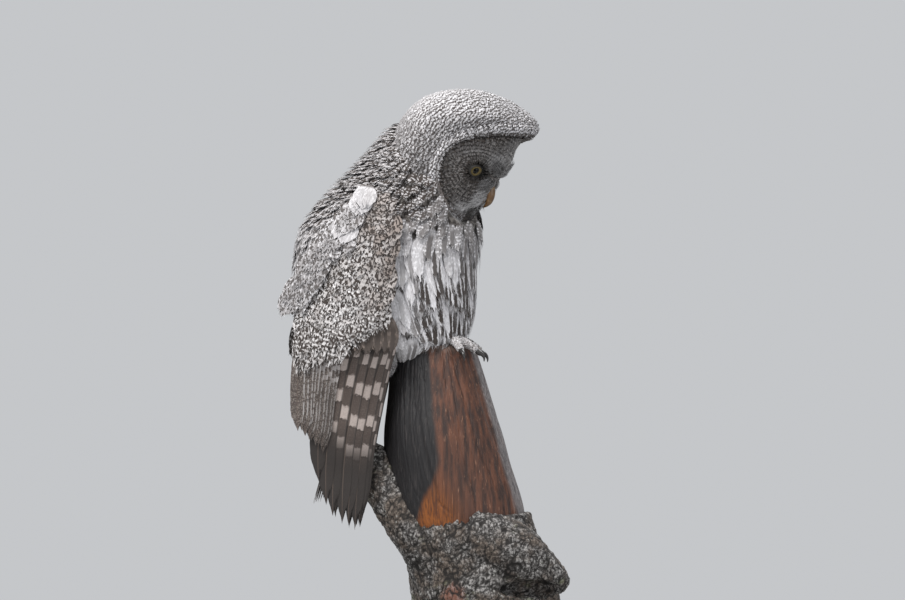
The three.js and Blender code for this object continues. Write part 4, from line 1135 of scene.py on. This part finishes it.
def quill_paint(name, outer=(0.072, 0.050, 0.041, 1), block=(0.42, 0.355, 0.325, 1), both=0.0):
    """Stiff feather: brown outer web with pale blocks at even spaces that fade out towards the
    dark tip, a dark inner web with faint bars, fine mottling, and a paler shaft. The outer web is
    on the wing's front edge, and both is 1 where the two webs have the same marks."""
    coat = Paint(name, Sheen_Weight=0.08, IOR=1.5)
    side, _, seed = coat.parts(coat.attribute("vane"))
    across, tip, spacing = coat.parts(coat.attribute("span"))
    blocks, mottling, tipping = coat.parts(coat.attribute("marks"))
    light, _, fringe = coat.parts(coat.attribute("tone"))
    flat = coat.node("CombineXYZ", 0, {0: across, 1: tip, 2: coat.times(seed, 70.0)})
    slant = coat.times_plus(coat.math("ABSOLUTE", across), -0.9, tip)
    barb = coat.node("CombineXYZ", 0, {0: coat.times(across, 0.12), 1: slant, 2: seed})
    threads = coat.noise(barb, 1.3, 2.0, 0.6)
    wobble = coat.noise(flat, 0.22, 3.0)
    wave = coat.plus(coat.math("DIVIDE", tip, spacing), coat.times(wobble, 0.22))
    wave = coat.math("FRACT", coat.plus(wave, seed))
    pale = coat.times(coat.band(wave, 0.05, 0.10), coat.band(wave, 0.50, 0.42))
    line = coat.times(coat.band(wave, 0.0, 0.03), coat.band(wave, 0.10, 0.06))
    front = coat.math("MAXIMUM", coat.band(side, -0.06, 0.10), both)
    # Painted shadow: a near-black band along the outer edge of the outer web, where each feather lies
    # over the next; none where both webs match.
    edge_shadow = coat.math("SUBTRACT", coat.band(side, 0.78, 0.95), both)
    away = coat.band(tip, 78.0, 112.0)
    pale = coat.times(coat.times(pale, blocks), away)
    specks = coat.band(coat.noise(flat, 0.75, 2.0, 0.6), 0.50, 0.60)
    web = coat.blend(light, (0.05, 0.038, 0.032, 1), outer)
    web = coat.blend(coat.times(specks, mottling), web, (0.40, 0.345, 0.31, 1))
    speckled = coat.blend(coat.times(specks, 0.35), block, (0.25, 0.205, 0.185, 1))
    outer_web = coat.blend(pale, web, speckled)
    line = coat.times(coat.times(line, blocks), 0.7)
    outer_web = coat.blend(line, outer_web, (0.05, 0.035, 0.03, 1))
    faint = coat.times(pale, 0.35)
    inner_web = coat.blend(faint, (0.036, 0.027, 0.023, 1), (0.16, 0.13, 0.11, 1))
    tone = coat.blend(front, inner_web, outer_web)
    rim = coat.times(coat.band(side, 0.72, 0.9), fringe)
    rim = coat.times(rim, coat.band(wobble, 0.38, 0.52))
    tone = coat.blend(rim, tone, (0.60, 0.57, 0.56, 1))
    dark_tip = coat.times(coat.band(tip, 135.0, 65.0), tipping)
    tone = coat.blend(coat.times(dark_tip, 0.92), tone, (0.020, 0.015, 0.013, 1))
    gaps = coat.times(coat.band(threads, 0.55, 0.75), 0.3)
    tone = coat.blend(gaps, tone, (0.02, 0.016, 0.014, 1))
    shaft = coat.band(coat.math("ABSOLUTE", side), 0.07, 0.03)
    tone = coat.blend(coat.times(shaft, 0.7), tone, (0.10, 0.07, 0.055, 1))
    # The painted shadow along the outer web's edge is laid over the colour here.
    edge_shadow = coat.math("MAXIMUM", edge_shadow, 0.0)
    tone = coat.blend(coat.times(edge_shadow, 0.8), tone, (0.022, 0.016, 0.013, 1))
    coat.colour(tone)
    coat.rough(coat.times_plus(threads, 0.25, 0.48))
    coat.bump(threads, 0.45, 0.0006)
    return coat.material


stiff_feather = quill_paint("feather_quill")
fine_feather = quill_paint("feather_secondary", (0.085, 0.06, 0.05, 1), (0.62, 0.58, 0.57, 1), both=1.0)
for side, word in sides:
    chart = wings[side]
    draw = np.random.default_rng(311 + side)
    n = 10
    steps = np.linspace(0, 1, n)
    roots = np.column_stack([-160 - 51 * steps, np.full(n, 418.0)])
    tips = np.column_stack([-183 - 31 * steps + draw.uniform(-2, 2, n),
                            250 + 36 * steps + draw.uniform(-5, 5, n)])
    marks = np.column_stack([np.full(n, 0.65), 0.45 + 0.5 * steps, np.full(n, 0.5)])
    tone = np.column_stack([0.25 + 0.45 * steps, np.zeros(n), 0.35 + 0.6 * steps])
    quills(f"secondaries_{word}", chart, roots, tips, np.full(n, 21.0), -9.3 + 0.8 * np.arange(n),
           fine_feather, marks, tone, 17.0, 313 + side, -3.0, f"wing_{word}_secondaries")
    steps = np.array([0, 0.06, 0.13, 0.3, 0.48, 0.66, 0.84, 1.0])
    n = len(steps)
    roots = np.column_stack([-70 - 88 * steps, np.full(n, 424.0)])
    tips = np.column_stack([
        -127 - 61 * steps + draw.uniform(-2, 2, n),
        154 + 52 * steps**2 - 52 * steps * (1 - steps) + draw.uniform(-9, 7, n)])
    tone = np.column_stack([0.85 - 0.1 * steps, np.zeros(n), np.full(n, 0.05)])
    quills(f"primaries_{word}", chart, roots, tips, 24.5 + 3.5 * steps, -19.2 + 1.15 * np.arange(n),
           stiff_feather, (1.0, 0.1, 1.0), tone, 43.0, 317 + side, -12.0, f"wing_{word}_primaries")

# Tail: twelve long feathers folded in a flat fan under the rump, the middle pair on top,
# greyish brown with paler mottled bars.
tail_root = np.array([-118.0, 0, 420])
tail_tip = np.array([-184.0, 0, 176])
tail_length = np.linalg.norm(tail_tip - tail_root)


def tail_surface(across, down):
    """A gently arched plane from the rump to the tips: height falls with the square across."""
    way = (tail_tip - tail_root) / tail_length
    backward = np.array([way[2], 0, -way[0]])
    arch = 6 * (1 - (across / 40) ** 2)
    flat = tail_root + down[..., None] * way + across[..., None] * np.array([0, 1.0, 0])
    return flat + arch[..., None] * backward


tail_chart = Chart(tail_surface, (-60, 60), (-20, 280), (60, 100), outward=-1.0)
k = np.arange(12)
out = 1 - (k // 2) / 5
hand = np.where(k % 2 == 0, -1, 1)
draw = np.random.default_rng(331)
roots = np.column_stack([hand * (3 + 10 * out), np.full(12, 10.0)])
ends = tail_length * (1 - 0.05 * out) + draw.uniform(-2, 2, 12)
tips = np.column_stack([hand * (5 + 21 * out), ends])
quills("tail_feathers", tail_chart, roots, tips, 32 - 7 * out, -6.9 + 1.15 * k, stiff_feather,
       (0.75, 0.7, 0.7), (0.6, 0, 0.4), 24.0, 337, 0.0, "tail")

# Rump and tail coverts: soft feathers that close the gap between the back and the tail's root
coat = Coat(tail_chart, 341)
draw = coat.draw
roots = np.column_stack([draw.uniform(-24, 24, 90), draw.uniform(-14, 30, 90)])
coat.lay(roots, (0, 1.0), 46, 17, (2.0, 9.0), (0.55, 0.4, 0.8), (0.7, 0.15, 0.4), spacing=6.5, barbs=12)
coat.make("tail_coverts", soft_feather, "plumage_body")

# Face: two round discs of fine open feathers that run out from each eye, with dark rings about
# the eye, paler brows and lores between the eyes, a black chin and a white moustache.


def face_paint():
    """Open hair-like feather: grey-brown with dark rings by the distance from the eye."""
    coat = Paint("feather_face", Sheen_Weight=0.2, Roughness=0.85)
    _, _, seed = coat.parts(coat.attribute("vane"))
    across, ring, spacing = coat.parts(coat.attribute("span"))
    rings, _, flecks = coat.parts(coat.attribute("marks"))
    light, warm, _ = coat.parts(coat.attribute("tone"))
    flat = coat.node("CombineXYZ", 0, {0: across, 1: ring, 2: coat.times(seed, 60.0)})
    hairs = coat.noise(coat.stretched(flat, (2.2, 0.2, 1.0)), 1.0, 3.0, 0.65)
    place = coat.object_place()
    drift = coat.noise(place, 90.0, 2.0)
    wave = coat.math("DIVIDE", ring, spacing)
    wave = coat.plus(wave, coat.times(drift, 0.4))
    wave = coat.plus(wave, coat.times(hairs, 0.5))
    ripple = coat.math("SINE", coat.times(wave, full_circle))
    dark = coat.times(coat.band(ripple, -0.3, 0.5), rings)
    speck = coat.times(coat.band(coat.noise(flat, 0.34, 2.0), 0.53, 0.60), flecks)
    web = coat.blend(light, (0.030, 0.025, 0.022, 1), (0.70, 0.69, 0.70, 1))
    web = coat.blend(warm, web, (0.16, 0.11, 0.08, 1))
    gaps = coat.times(coat.band(hairs, 0.6, 0.38), 0.5)
    web = coat.blend(gaps, web, (0.09, 0.08, 0.075, 1))
    web = coat.blend(dark, web, (0.026, 0.021, 0.019, 1))
    coat.colour(coat.blend(speck, web, (0.34, 0.32, 0.31, 1)))
    coat.bump(hairs, 0.5, 0.0005)
    return coat.material


face_feather = face_paint()
for side, word in sides:
    coat = Coat(face, 401 + side)
    draw = coat.draw
    found = []
    for k, r in enumerate(np.arange(11.5, 100, 2.9)):
        count = int(2 * np.pi * r / (2.7 + 0.01 * r))
        turn = (np.arange(count) + 0.5 * (k % 2) + draw.uniform(-0.3, 0.3, count)) / count * 2 * np.pi
        size = r + draw.uniform(-1.1, 1.1, count)
        round_eye = np.column_stack([np.sin(turn), np.cos(turn)]) * size[:, None]
        found.append((eye_up, side * eye_side) + round_eye)
    roots = np.concatenate(found)
    radius = np.hypot(roots[:, 0], roots[:, 1])
    roots = roots[(radius < disc_radius - 3) & (side * roots[:, 1] > -1.5)]
    n = len(roots)
    away = roots - (eye_up, side * eye_side)
    r = np.linalg.norm(away, axis=1)
    up, left = roots[:, 0], np.abs(roots[:, 1])
    inner = np.exp(-((left / 13) ** 2))
    brow = inner * smooth(up, 4, 22) + np.exp(-(((left - 13) / 8) ** 2) - ((up - 20) / 13) ** 2)
    lore = inner * (1 - smooth(up, -2, 8)) * smooth(up, -34, -12)
    chin = inner * (1 - smooth(up, -50, -38))
    tache = np.exp(-(((left - 20) / 11) ** 2) - ((up + 52) / 9) ** 2)
    near = 1 - smooth(r, 12, 19)
    rim = smooth(np.hypot(up, left), 58, 67)
    comma = np.exp(-(((left - eye_side + 9) / 6) ** 2) - ((up - eye_up + 6) / 9) ** 2)
    arc = np.exp(-(((r - 30) / 5) ** 2)) * smooth(up, eye_up + 4, eye_up + 18)
    light = 0.09 + 0.22 * np.clip(brow, 0, 1) + 0.2 * lore + 0.95 * tache
    light = light - 0.22 * chin - 0.13 * near + 0.25 * arc
    light = np.clip(light - 0.1 * rim - 0.4 * comma + draw.uniform(-0.07, 0.09, n), 0, 1)
    rings = np.clip(0.85 - 0.6 * brow - 0.5 * lore - 0.75 * tache, 0.05, 1) + 0.2 * rim
    warm = np.clip(0.25 + 0.5 * rim - brow - tache, 0, 0.6) * draw.random(n)
    flecks = 0.7 * (1 - near) * (1 - chin) * (1 - comma)
    length = 12.5 + 2.5 * draw.random(n) - 4.0 * near
    way = away + draw.uniform(-0.12, 0.12, (n, 2)) * r[:, None]
    width = 3.6 + draw.uniform(-0.5, 0.7, n)
    marks = np.column_stack([np.clip(rings, 0, 1), np.zeros(n), np.clip(flecks, 0, 1)])
    coat.lay(roots, way, length, width, (-2.2, 1.6 + draw.uniform(-0.8, 1.0, n)), marks,
             np.column_stack([light, warm, np.zeros(n)]), spacing=5.2, barbs=8, barb_reach=0.3,
             rows=short_rows,
             ring=lambda at, side=side: np.hypot(at[..., 0] - eye_up, at[..., 1] - side * eye_side))
    coat.make(f"face_{word}", face_feather, "plumage_face", f"face_disc_{word}")

# Rim of the face: close-set small feathers that stand out from the edge of the disc and curl
# back under the hood of the crown, dark at the disc and pale at their tips. Under the top of the
# hood they are painted nearly black as shadow.


def rim_surface(share, turn):
    """A curved strip round the disc: from the face at radius 66, over a crest, to the hood's
    edge, each point blended between three by the squares of the share."""
    inner_left, inner_up = 66 * np.sin(turn), 66 * np.cos(turn)
    inner = np.stack([face_out(inner_left, inner_up), inner_left, inner_up], -1)
    outer = np.stack([np.interp(turn, spot_turn, edge_local[:, k]) for k in range(3)], -1)
    crest = (inner + outer) / 2
    crest[..., 0] = np.maximum(inner[..., 0], outer[..., 0]) + 3.0
    crest[..., 1:] *= 1.03
    share = share[..., None]
    return from_head(inner * (1 - share) ** 2 + 2 * crest * share * (1 - share) + outer * share**2)


rim_chart = Chart(rim_surface, (0, 1), (-np.pi, np.pi), (40, 300))
coat = Coat(rim_chart, 431)
draw = coat.draw
count = 190
for share, reach, light, height in (
        (0.05, 9, 0.16, 0.5), (0.3, 10, 0.30, 1.2), (0.58, 11, 0.62, 1.6), (0.85, 12, 0.85, 1.6)):
    turn = -np.pi + (np.arange(count) + draw.uniform(0.2, 0.8, count)) / count * 2 * np.pi
    roots = np.column_stack([share + draw.uniform(-0.06, 0.06, count), turn])
    way = np.column_stack([np.ones(count), draw.uniform(-0.25, 0.25, count)])
    # Painted shadow: under the top of the hood the rim feathers are painted nearly black, with a darker
    # streak and no warm tint or pale fringe.
    hood_shadow = 1 - smooth(np.abs(turn), 1.5, 2.2)
    shade = light * (1 - 0.95 * hood_shadow)
    bars = np.full(count, 0.8 if share > 0.5 else 0.25)
    coat.lay(roots, way, reach + draw.uniform(-1.5, 1.5, count), 4.4, (-2.0, height),
             np.column_stack([bars, 0.2 + 0.8 * hood_shadow, np.full(count, 0.3)]),
             np.column_stack([shade, 0.25 * (1 - hood_shadow), 0.6 * (1 - hood_shadow)]),
             spacing=4.2, barbs=8, barb_reach=0.25, rows=short_rows)
coat.make("face_rim", soft_feather, "plumage_face")

# Moustache: a loose white band under each disc, parted by the black chin.
coat = Coat(face, 441)
draw = coat.draw
count = 230
hand = np.where(np.arange(count) % 2 == 0, -1, 1)
left = hand * draw.uniform(6, 38, count)
roots = np.column_stack([-np.sqrt(69.0**2 - left**2) + draw.uniform(-4, 6, count), left])
way = np.column_stack([-np.ones(count), hand * draw.uniform(0.2, 1.0, count)])
coat.lay(roots, way, draw.uniform(10, 16, count), 4.6, (-2.0, 3.0), (0.1, 0.1, 0.05), (1.0, 0.0, 0.5),
         spacing=5.0, barbs=10, barb_reach=0.3, rows=short_rows)
coat.make("moustache", soft_feather, "plumage_face")

# Eyes: small for the head, dull yellow irises about black pupils under a clear wet surface,
# with narrow dark lids. The ball is turned about the way the eye looks.
eye_ball, eye_turn_out = 11.5, np.radians(20)
iris_edge, iris_depth = 0.93, 6.9
dome_edge, dome_height = 1.0, 5.4


def eye_frame(side):
    """The eye's middle and its axes: forward, across and up, in the head's frame."""
    forward = np.array([np.cos(eye_turn_out), side * np.sin(eye_turn_out), 0])
    left = side * eye_side
    surface = np.array([face_out(np.array(left), np.array(eye_up)), left, eye_up])
    across = np.array([-forward[1], forward[0], 0])
    return surface - 5 * forward, forward, across, np.array([0, 0, 1.0])


iris = Paint("eye_iris", Roughness=0.35, IOR=1.4)
around_x, around_y, from_axis_mm = iris.parts(iris.attribute("disc"))
outwards = iris.times(from_axis_mm, 0.12)
turned_place = iris.node("CombineXYZ", 0, {0: around_x, 1: around_y, 2: outwards})
rays = iris.noise(turned_place, 9.0, 3.0, 0.6)
gold = iris.blend(rays, (0.09, 0.06, 0.015, 1), (0.27, 0.20, 0.07, 1))
gold = iris.blend(iris.band(from_axis_mm, 6.6, 8.6), gold, (0.10, 0.075, 0.02, 1))
gold = iris.blend(iris.band(from_axis_mm, 5.2, 4.3), gold, (0.12, 0.08, 0.015, 1))
gold = iris.blend(iris.band(from_axis_mm, 8.5, 8.9), gold, (0.008, 0.007, 0.006, 1))
iris.colour(iris.blend(iris.band(from_axis_mm, 4.7, 4.45), gold, (0.002, 0.002, 0.002, 1)))
clear = Paint("eye_clear", Roughness=0.03, IOR=1.38, Alpha=0.16)
clear.shader.inputs["Base Color"].default_value = (0.01, 0.01, 0.01, 1)
lid_skin = Paint("lid_skin", Roughness=0.5)
lid_grain = lid_skin.noise(lid_skin.object_place(), 1200.0, 3.0)
lid_skin.colour(lid_skin.blend(lid_grain, (0.010, 0.009, 0.008, 1), (0.045, 0.038, 0.033, 1)))
lid_skin.bump(lid_grain, 0.5, 0.0004)
for side, word in sides:
    middle_of_eye, forward, across, upright_way = eye_frame(side)
    slant = np.linspace(0.015, np.pi * 0.62, 48)[:, None, None]
    round_turn = circle(64)[None, :, None]
    ring = np.cos(round_turn) * across + np.sin(round_turn) * upright_way
    wide_of_axis = eye_ball * np.sin(slant)
    flat_front = iris_depth - 0.5 * np.cos(np.minimum(slant / iris_edge, 1) * np.pi)
    depth = np.where(slant < iris_edge, flat_front, eye_ball * np.cos(slant))
    rings = from_head(middle_of_eye + depth * forward + wide_of_axis * ring)
    ball = new_piece(f"eyeball_{word}", *skin_rings(rings[::-1]))
    disc = np.broadcast_arrays(np.cos(round_turn), np.sin(round_turn), wide_of_axis)
    disc = np.concatenate(disc, -1)[::-1].reshape(-1, 3)
    mark(ball, "disc", np.concatenate([disc, [[1, 0, 10.0], [1, 0, 0.0]]]))
    settle(ball, iris.material, "eye", f"eye_{word}")
    # The clear dome in front of the iris: a cap that stands highest over the pupil
    slant = np.linspace(0.02, dome_edge, 24)[:, None, None]
    rise = dome_height * (np.cos(slant) - np.cos(dome_edge)) / (1 - np.cos(dome_edge))
    dome = from_head(middle_of_eye + 9.6 * np.sin(slant) * 1.06 * ring + (iris_depth + rise) * forward)
    back = from_head(middle_of_eye + 6.85 * forward + np.array([8.5, 4.0])[:, None, None] * ring)
    cornea = new_piece(f"cornea_{word}", *skin_rings(np.concatenate([dome, back])[::-1]))
    settle(cornea, clear.material, "eye")
    # The lids: rings that grow outwards, each lifted over the ball, then falling behind the face
    steps = np.array([0.96, 1.0, 1.05, 1.13, 1.24, 1.38, 1.5])[:, None, None]
    lift = np.array([-0.5, 0.25, 0.75, 0.9, 0.6, -0.4, -2.0])[:, None, None]
    wide, tall = 9.0, 7.6
    flat = steps * (wide * np.cos(round_turn) * across + tall * np.sin(round_turn) * upright_way)
    reach = np.linalg.norm(flat, axis=-1, keepdims=True)
    over = np.sqrt(np.clip(eye_ball**2 - np.minimum(reach, 10.8) ** 2, 0, None))
    lids = from_head(middle_of_eye + flat + forward * (over + lift))
    lid = new_piece(f"lids_{word}", lids.reshape(-1, 3), grid_faces(*lids.shape[:2], closed=True))
    settle(lid, lid_skin.material, "plumage_face")

# Bill: a short strongly hooked horn bill, dull yellow, set deep in the bristles of the face.
# The upper half has a soft cere with a nostril on each side and closes over the lower half.
upper_bill = [[-4, -8, 7, 7], [6, -12, 7, 6.8], [13, -19, 6.2, 6], [16.6, -27, 4.8, 4.6]]
upper_bill += [[16.4, -34, 2.9, 2.8], [14.2, -40, 0.9, 0.8]]
lower_bill = [[-6, -23, 4, 6], [2, -28, 3.6, 5.2], [7.4, -32.5, 2.7, 3.8], [9.8, -36.5, 1.1, 1.5]]


def mandible(stations, rings=44, around=40):
    """Oval rings square to the bill's curved middle line, with a slight keel along the top."""
    line = along(stations, np.linspace(0, 1, rings))
    centre = np.stack([line[:, 0], np.zeros(rings), line[:, 1]], -1)
    way = np.gradient(centre, axis=0)
    way /= np.linalg.norm(way, axis=1, keepdims=True)
    square = np.stack([-way[:, 2], np.zeros(rings), way[:, 0]], -1)
    turn = circle(around)
    keel = 1 + 0.06 * np.cos(turn) ** 8
    ring = (np.cos(turn) * keel)[None, :, None] * square[:, None] * line[:, None, 2:3]
    ring = ring + np.sin(turn)[None, :, None] * np.array([0, 1.0, 0]) * line[:, None, 3:4]
    return centre[:, None] + ring


horn = Paint("bill_horn", Roughness=0.34, IOR=1.54, Coat_Weight=0.2, Coat_Roughness=0.2)
place = horn.object_place()
grow = horn.noise(horn.stretched(place, (1, 1, 0.35)), 500.0, 3.0)
yellow = horn.blend(grow, (0.055, 0.024, 0.008, 1), (0.13, 0.062, 0.016, 1))
worn = horn.band(horn.noise(place, 160.0, 2.0), 0.5, 0.75)
horn.colour(horn.blend(worn, yellow, (0.17, 0.11, 0.05, 1)))
horn.bump(grow, 0.25, 0.0003)
for name, stations, node in (("upper", upper_bill, "bill_upper"), ("lower", lower_bill, "bill_lower")):
    rings = mandible(stations)
    if name == "upper":
        for hand in (-1, 1):
            away = np.linalg.norm((rings - (10.5, hand * 6.0, -14)) / (1.7, 2.5, 1.3), axis=-1)
            rings[..., 1] -= hand * 2.0 * np.exp(-(away**2))
    bill = new_piece(f"bill_{name}_horn", *skin_rings(from_head(rings)))
    settle(bill, horn.material, "bill", node)

# Bristles: fine stiff hairs round the bill that sweep down and outwards over the lores, white
# below the eyes and dark at the chin. Each is a long thin blade, folded along its middle.
draw = np.random.default_rng(457)
count = 1500
left = np.sign(draw.uniform(-1, 1, count)) * (1.0 + 11 * draw.random(count) ** 1.2)
up = draw.uniform(-46, 26, count)
forwards = 0.25 + 0.5 * draw.random(count)
outwards = np.sign(left) * (0.35 + 0.8 * draw.random(count))
fall = np.column_stack([forwards, outwards, np.where(up > 4, 0.7, -1.0)])
fall /= np.linalg.norm(fall, axis=1, keepdims=True)
base = np.stack([face_out(left, up) - 1.5, left, up], -1)
reach = draw.uniform(9, 17, count)
t = np.linspace(0, 1, 6)[None, :, None]
curve = base[:, None] + fall[:, None] * (reach[:, None, None] * t)
curve[..., 0] += 3.6 * np.sin(t[..., 0] * 2.6) - 0.45 * reach[:, None] * t[..., 0] ** 2
thin = 0.34 * (1 - t) + 0.03
sideways = np.cross(fall, np.array([1.0, 0, 0]))[:, None]
blades = np.stack([curve - sideways * thin, curve + np.array([0.2, 0, 0]), curve + sideways * thin], 2)
points = from_head(blades.reshape(-1, 3))
blade_points = 6 * 3
faces = grid_faces(6, 3) + np.arange(count)[:, None, None] * blade_points
bristle = new_piece("face_bristles", points, faces.reshape(-1, 4))
shade = 0.68 - 0.35 * (up > -12) - 0.9 * (up < -40) * (np.abs(left) < 7)
shade = np.clip(shade + draw.uniform(-0.35, 0.2, count), 0, 1)
mark(bristle, "shade", np.repeat(shade, blade_points))
home = np.column_stack([(left + 20) / 40, (up + 60) / 100])
small = np.meshgrid(np.linspace(0, 0.003, 6), np.linspace(0, 0.001, 3), indexing="ij")
small = np.stack(small, -1).reshape(-1, 2)
unwrap(bristle, (home[:, None] + small[None]).reshape(-1, 2))
hair = Paint("face_bristle", Roughness=0.6)
streaks = hair.noise(hair.object_place(), 500.0, 2.0)
darker = hair.math("SUBTRACT", hair.attribute("shade", "Fac"), 0.2)
share = hair.times_plus(streaks, 0.4, darker)
hair.colour(hair.blend(share, (0.02, 0.017, 0.015, 1), (0.68, 0.67, 0.68, 1)))
settle(bristle, hair.material, "plumage_face")

# Feet: short toes feathered to the claws in dull white, two forward, one out and one behind,
# over the rim of the stump, each with a long curved black claw.
stance_apart, stance_x, ankle = 33.0, -6.0, 406.0
claw_length, claw_root = 13, 3.7
# Each toe's way in degrees from straight ahead, its length, its drop and its claw's hook
toe_sizes = [(18, 38, 15, 0.8), (-14, 42, 16, 0.8), (66, 35, 14, 0.8), (178, 28, 0, 0.12)]


def toe_line(side, way, length, drop):
    """Stations down a toe: straight out from the foot, falling by a power of the distance."""
    turn = np.radians(way) * side
    share = np.array([0, 0.25, 0.5, 0.75, 1.0])
    flat = np.array([np.cos(turn), np.sin(turn)]) * (length * share)[:, None]
    flat = flat + (stance_x, side * stance_apart)
    size = 10.5 + (6.2 - 10.5) * np.sqrt(share)
    return np.column_stack([flat, ankle - drop * share**2.4, size])


def tube_surface(stations, inset):
    """A limb's surface by the share along it and the turn about it."""
    def surface(share, turn):
        line = along(stations, share)
        after, before = (along(stations, np.clip(share + step, 0, 1)) for step in (0.02, -0.02))
        ahead = after - before
        way = ahead[..., :3] / np.linalg.norm(ahead[..., :3], axis=-1, keepdims=True)
        other = np.cross(way, np.broadcast_to([0, 0, 1.0], way.shape))
        other /= np.linalg.norm(other, axis=-1, keepdims=True)
        top = np.cross(other, way)
        ring = np.cos(turn)[..., None] * top + np.sin(turn)[..., None] * other
        return line[..., :3] + ring * (line[..., 3:4] - inset)
    return surface


claw_horn = Paint("claw_horn", Roughness=0.28, IOR=1.55)
sheen = claw_horn.noise(claw_horn.object_place(), 700.0, 2.0)
claw_horn.colour(claw_horn.blend(sheen, (0.008, 0.007, 0.007, 1), (0.03, 0.026, 0.024, 1)))
claw_horn.bump(sheen, 0.2, 0.0002)
for side, word in sides:
    cores = []
    for number, (way, length, drop, hook) in enumerate(toe_sizes):
        line = toe_line(side, way, length, drop)
        core = np.column_stack([line[:, :3], line[:, 3] - 2.0])
        cores.append(limb(core, 12, 20))
        chart = Chart(tube_surface(line, 1.5), (0, 1), (-np.pi, np.pi), (30, 60), outward=-1.0)
        coat = Coat(chart, 500 + number)
        roots = rooted(chart, (0.0, 0.9), (-np.pi, np.pi), (3.4, 3.6), 510 + number + side)
        n = len(roots)
        swing = np.column_stack([np.ones(n), coat.draw.uniform(-0.3, 0.3, n)])
        light = 0.62 + 0.3 * coat.draw.random(n)
        coat.lay(roots, swing, coat.draw.uniform(8, 12, n), 4.2, (-1.0, 1.6), (0.25, 0.1, 0.4),
                 np.column_stack([light, 0.2 * coat.draw.random(n), np.zeros(n)]), barbs=8,
                 barb_reach=0.3, rows=short_rows)
        coat.make(f"toe_feathers_{word}_{number + 1}", soft_feather, "foot_feathers")
        end, before = line[-1, :3], line[-2, :3]
        forward = (end - before) / np.linalg.norm(end - before)
        level = forward * (1, 1, 0) / np.linalg.norm(forward[:2])
        steps = np.linspace(0, 1, 7)
        bend = steps * np.radians(58)
        curve = end + forward * 4.3 + level * (claw_length * steps * np.cos(bend))[:, None]
        curve[:, 2] -= claw_length * steps * hook * (0.3 + np.sin(bend))
        size = claw_root + (0.35 - claw_root) * steps**1.2
        stations = np.vstack([[*(end + forward * 0.3), claw_root], np.column_stack([curve, size])])
        claw = new_piece(f"claw_{word}_{number + 1}_horn", *limb(stations, 24, 20))
        settle(claw, claw_horn.material, "claw", f"claw_{word}_{number + 1}")
    points, normals, quads = fused(cores, 1.6)
    foot = new_piece(f"foot_skin_{word}", points, quads)
    settle(foot, down.material, "foot_feathers", f"foot_{word}")

# Studio: a round pale table top, three soft lamps and a plain pale sky. The camera stands level,
# some metres off, and frames the model as the photograph does.
edge_line = [(2, 0), (200, 0), (500, 0), (780, 0), (792, -1), (799, -5), (800, -14), (800, -40)]
floor = new_piece("studio_floor", *skin_rings(turned(np.zeros(3), edge_line, 180)[::-1]))
paper = Paint("studio_paper", Roughness=0.9)
cloud = paper.noise(paper.object_place(), 3.0)
paper.colour(paper.blend(cloud, (0.42, 0.42, 0.415, 1), (0.46, 0.46, 0.455, 1)))
floor.data.materials.append(paper.material)


def lamp(name, place, aim, size, power, tint):
    light = bpy.data.lights.new(name, "AREA")
    light.size = size
    light.energy = power
    light.color = tint
    holder = bpy.data.objects.new(name, light)
    holder.location = place
    holder.rotation_euler = (Vector(aim) - Vector(place)).to_track_quat("-Z", "Y").to_euler()
    bpy.context.scene.collection.objects.link(holder)


middle = (0.0, 0.0, 0.45)
lamp("lamp_above", (-0.9, -1.3, 2.3), middle, 1.2, 66.0, (1.0, 0.99, 0.97))
lamp("lamp_front", (1.2, -2.6, 0.9), middle, 2.0, 14.0, (0.96, 0.98, 1.0))
lamp("lamp_behind", (0.6, 1.3, 1.9), middle, 1.2, 26.0, (1.0, 1.0, 1.0))
sky = bpy.data.worlds.new("studio_sky")
sky.use_nodes = True
sky.node_tree.nodes["Background"].inputs["Color"].default_value = (0.93, 0.95, 0.98, 1)
sky.node_tree.nodes["Background"].inputs["Strength"].default_value = 0.60
bpy.context.scene.world = sky
bpy.context.scene.view_settings.view_transform = "Standard"

camera_data = bpy.data.cameras.new("camera")
camera_data.lens = 230.6
camera_data.clip_end = 60
camera = bpy.data.objects.new("camera", camera_data)
camera.location = (-0.00345, -8.0, 0.461)
camera.rotation_euler = (np.pi / 2, 0, 0)
bpy.context.scene.collection.objects.link(camera)
bpy.context.scene.camera = camera
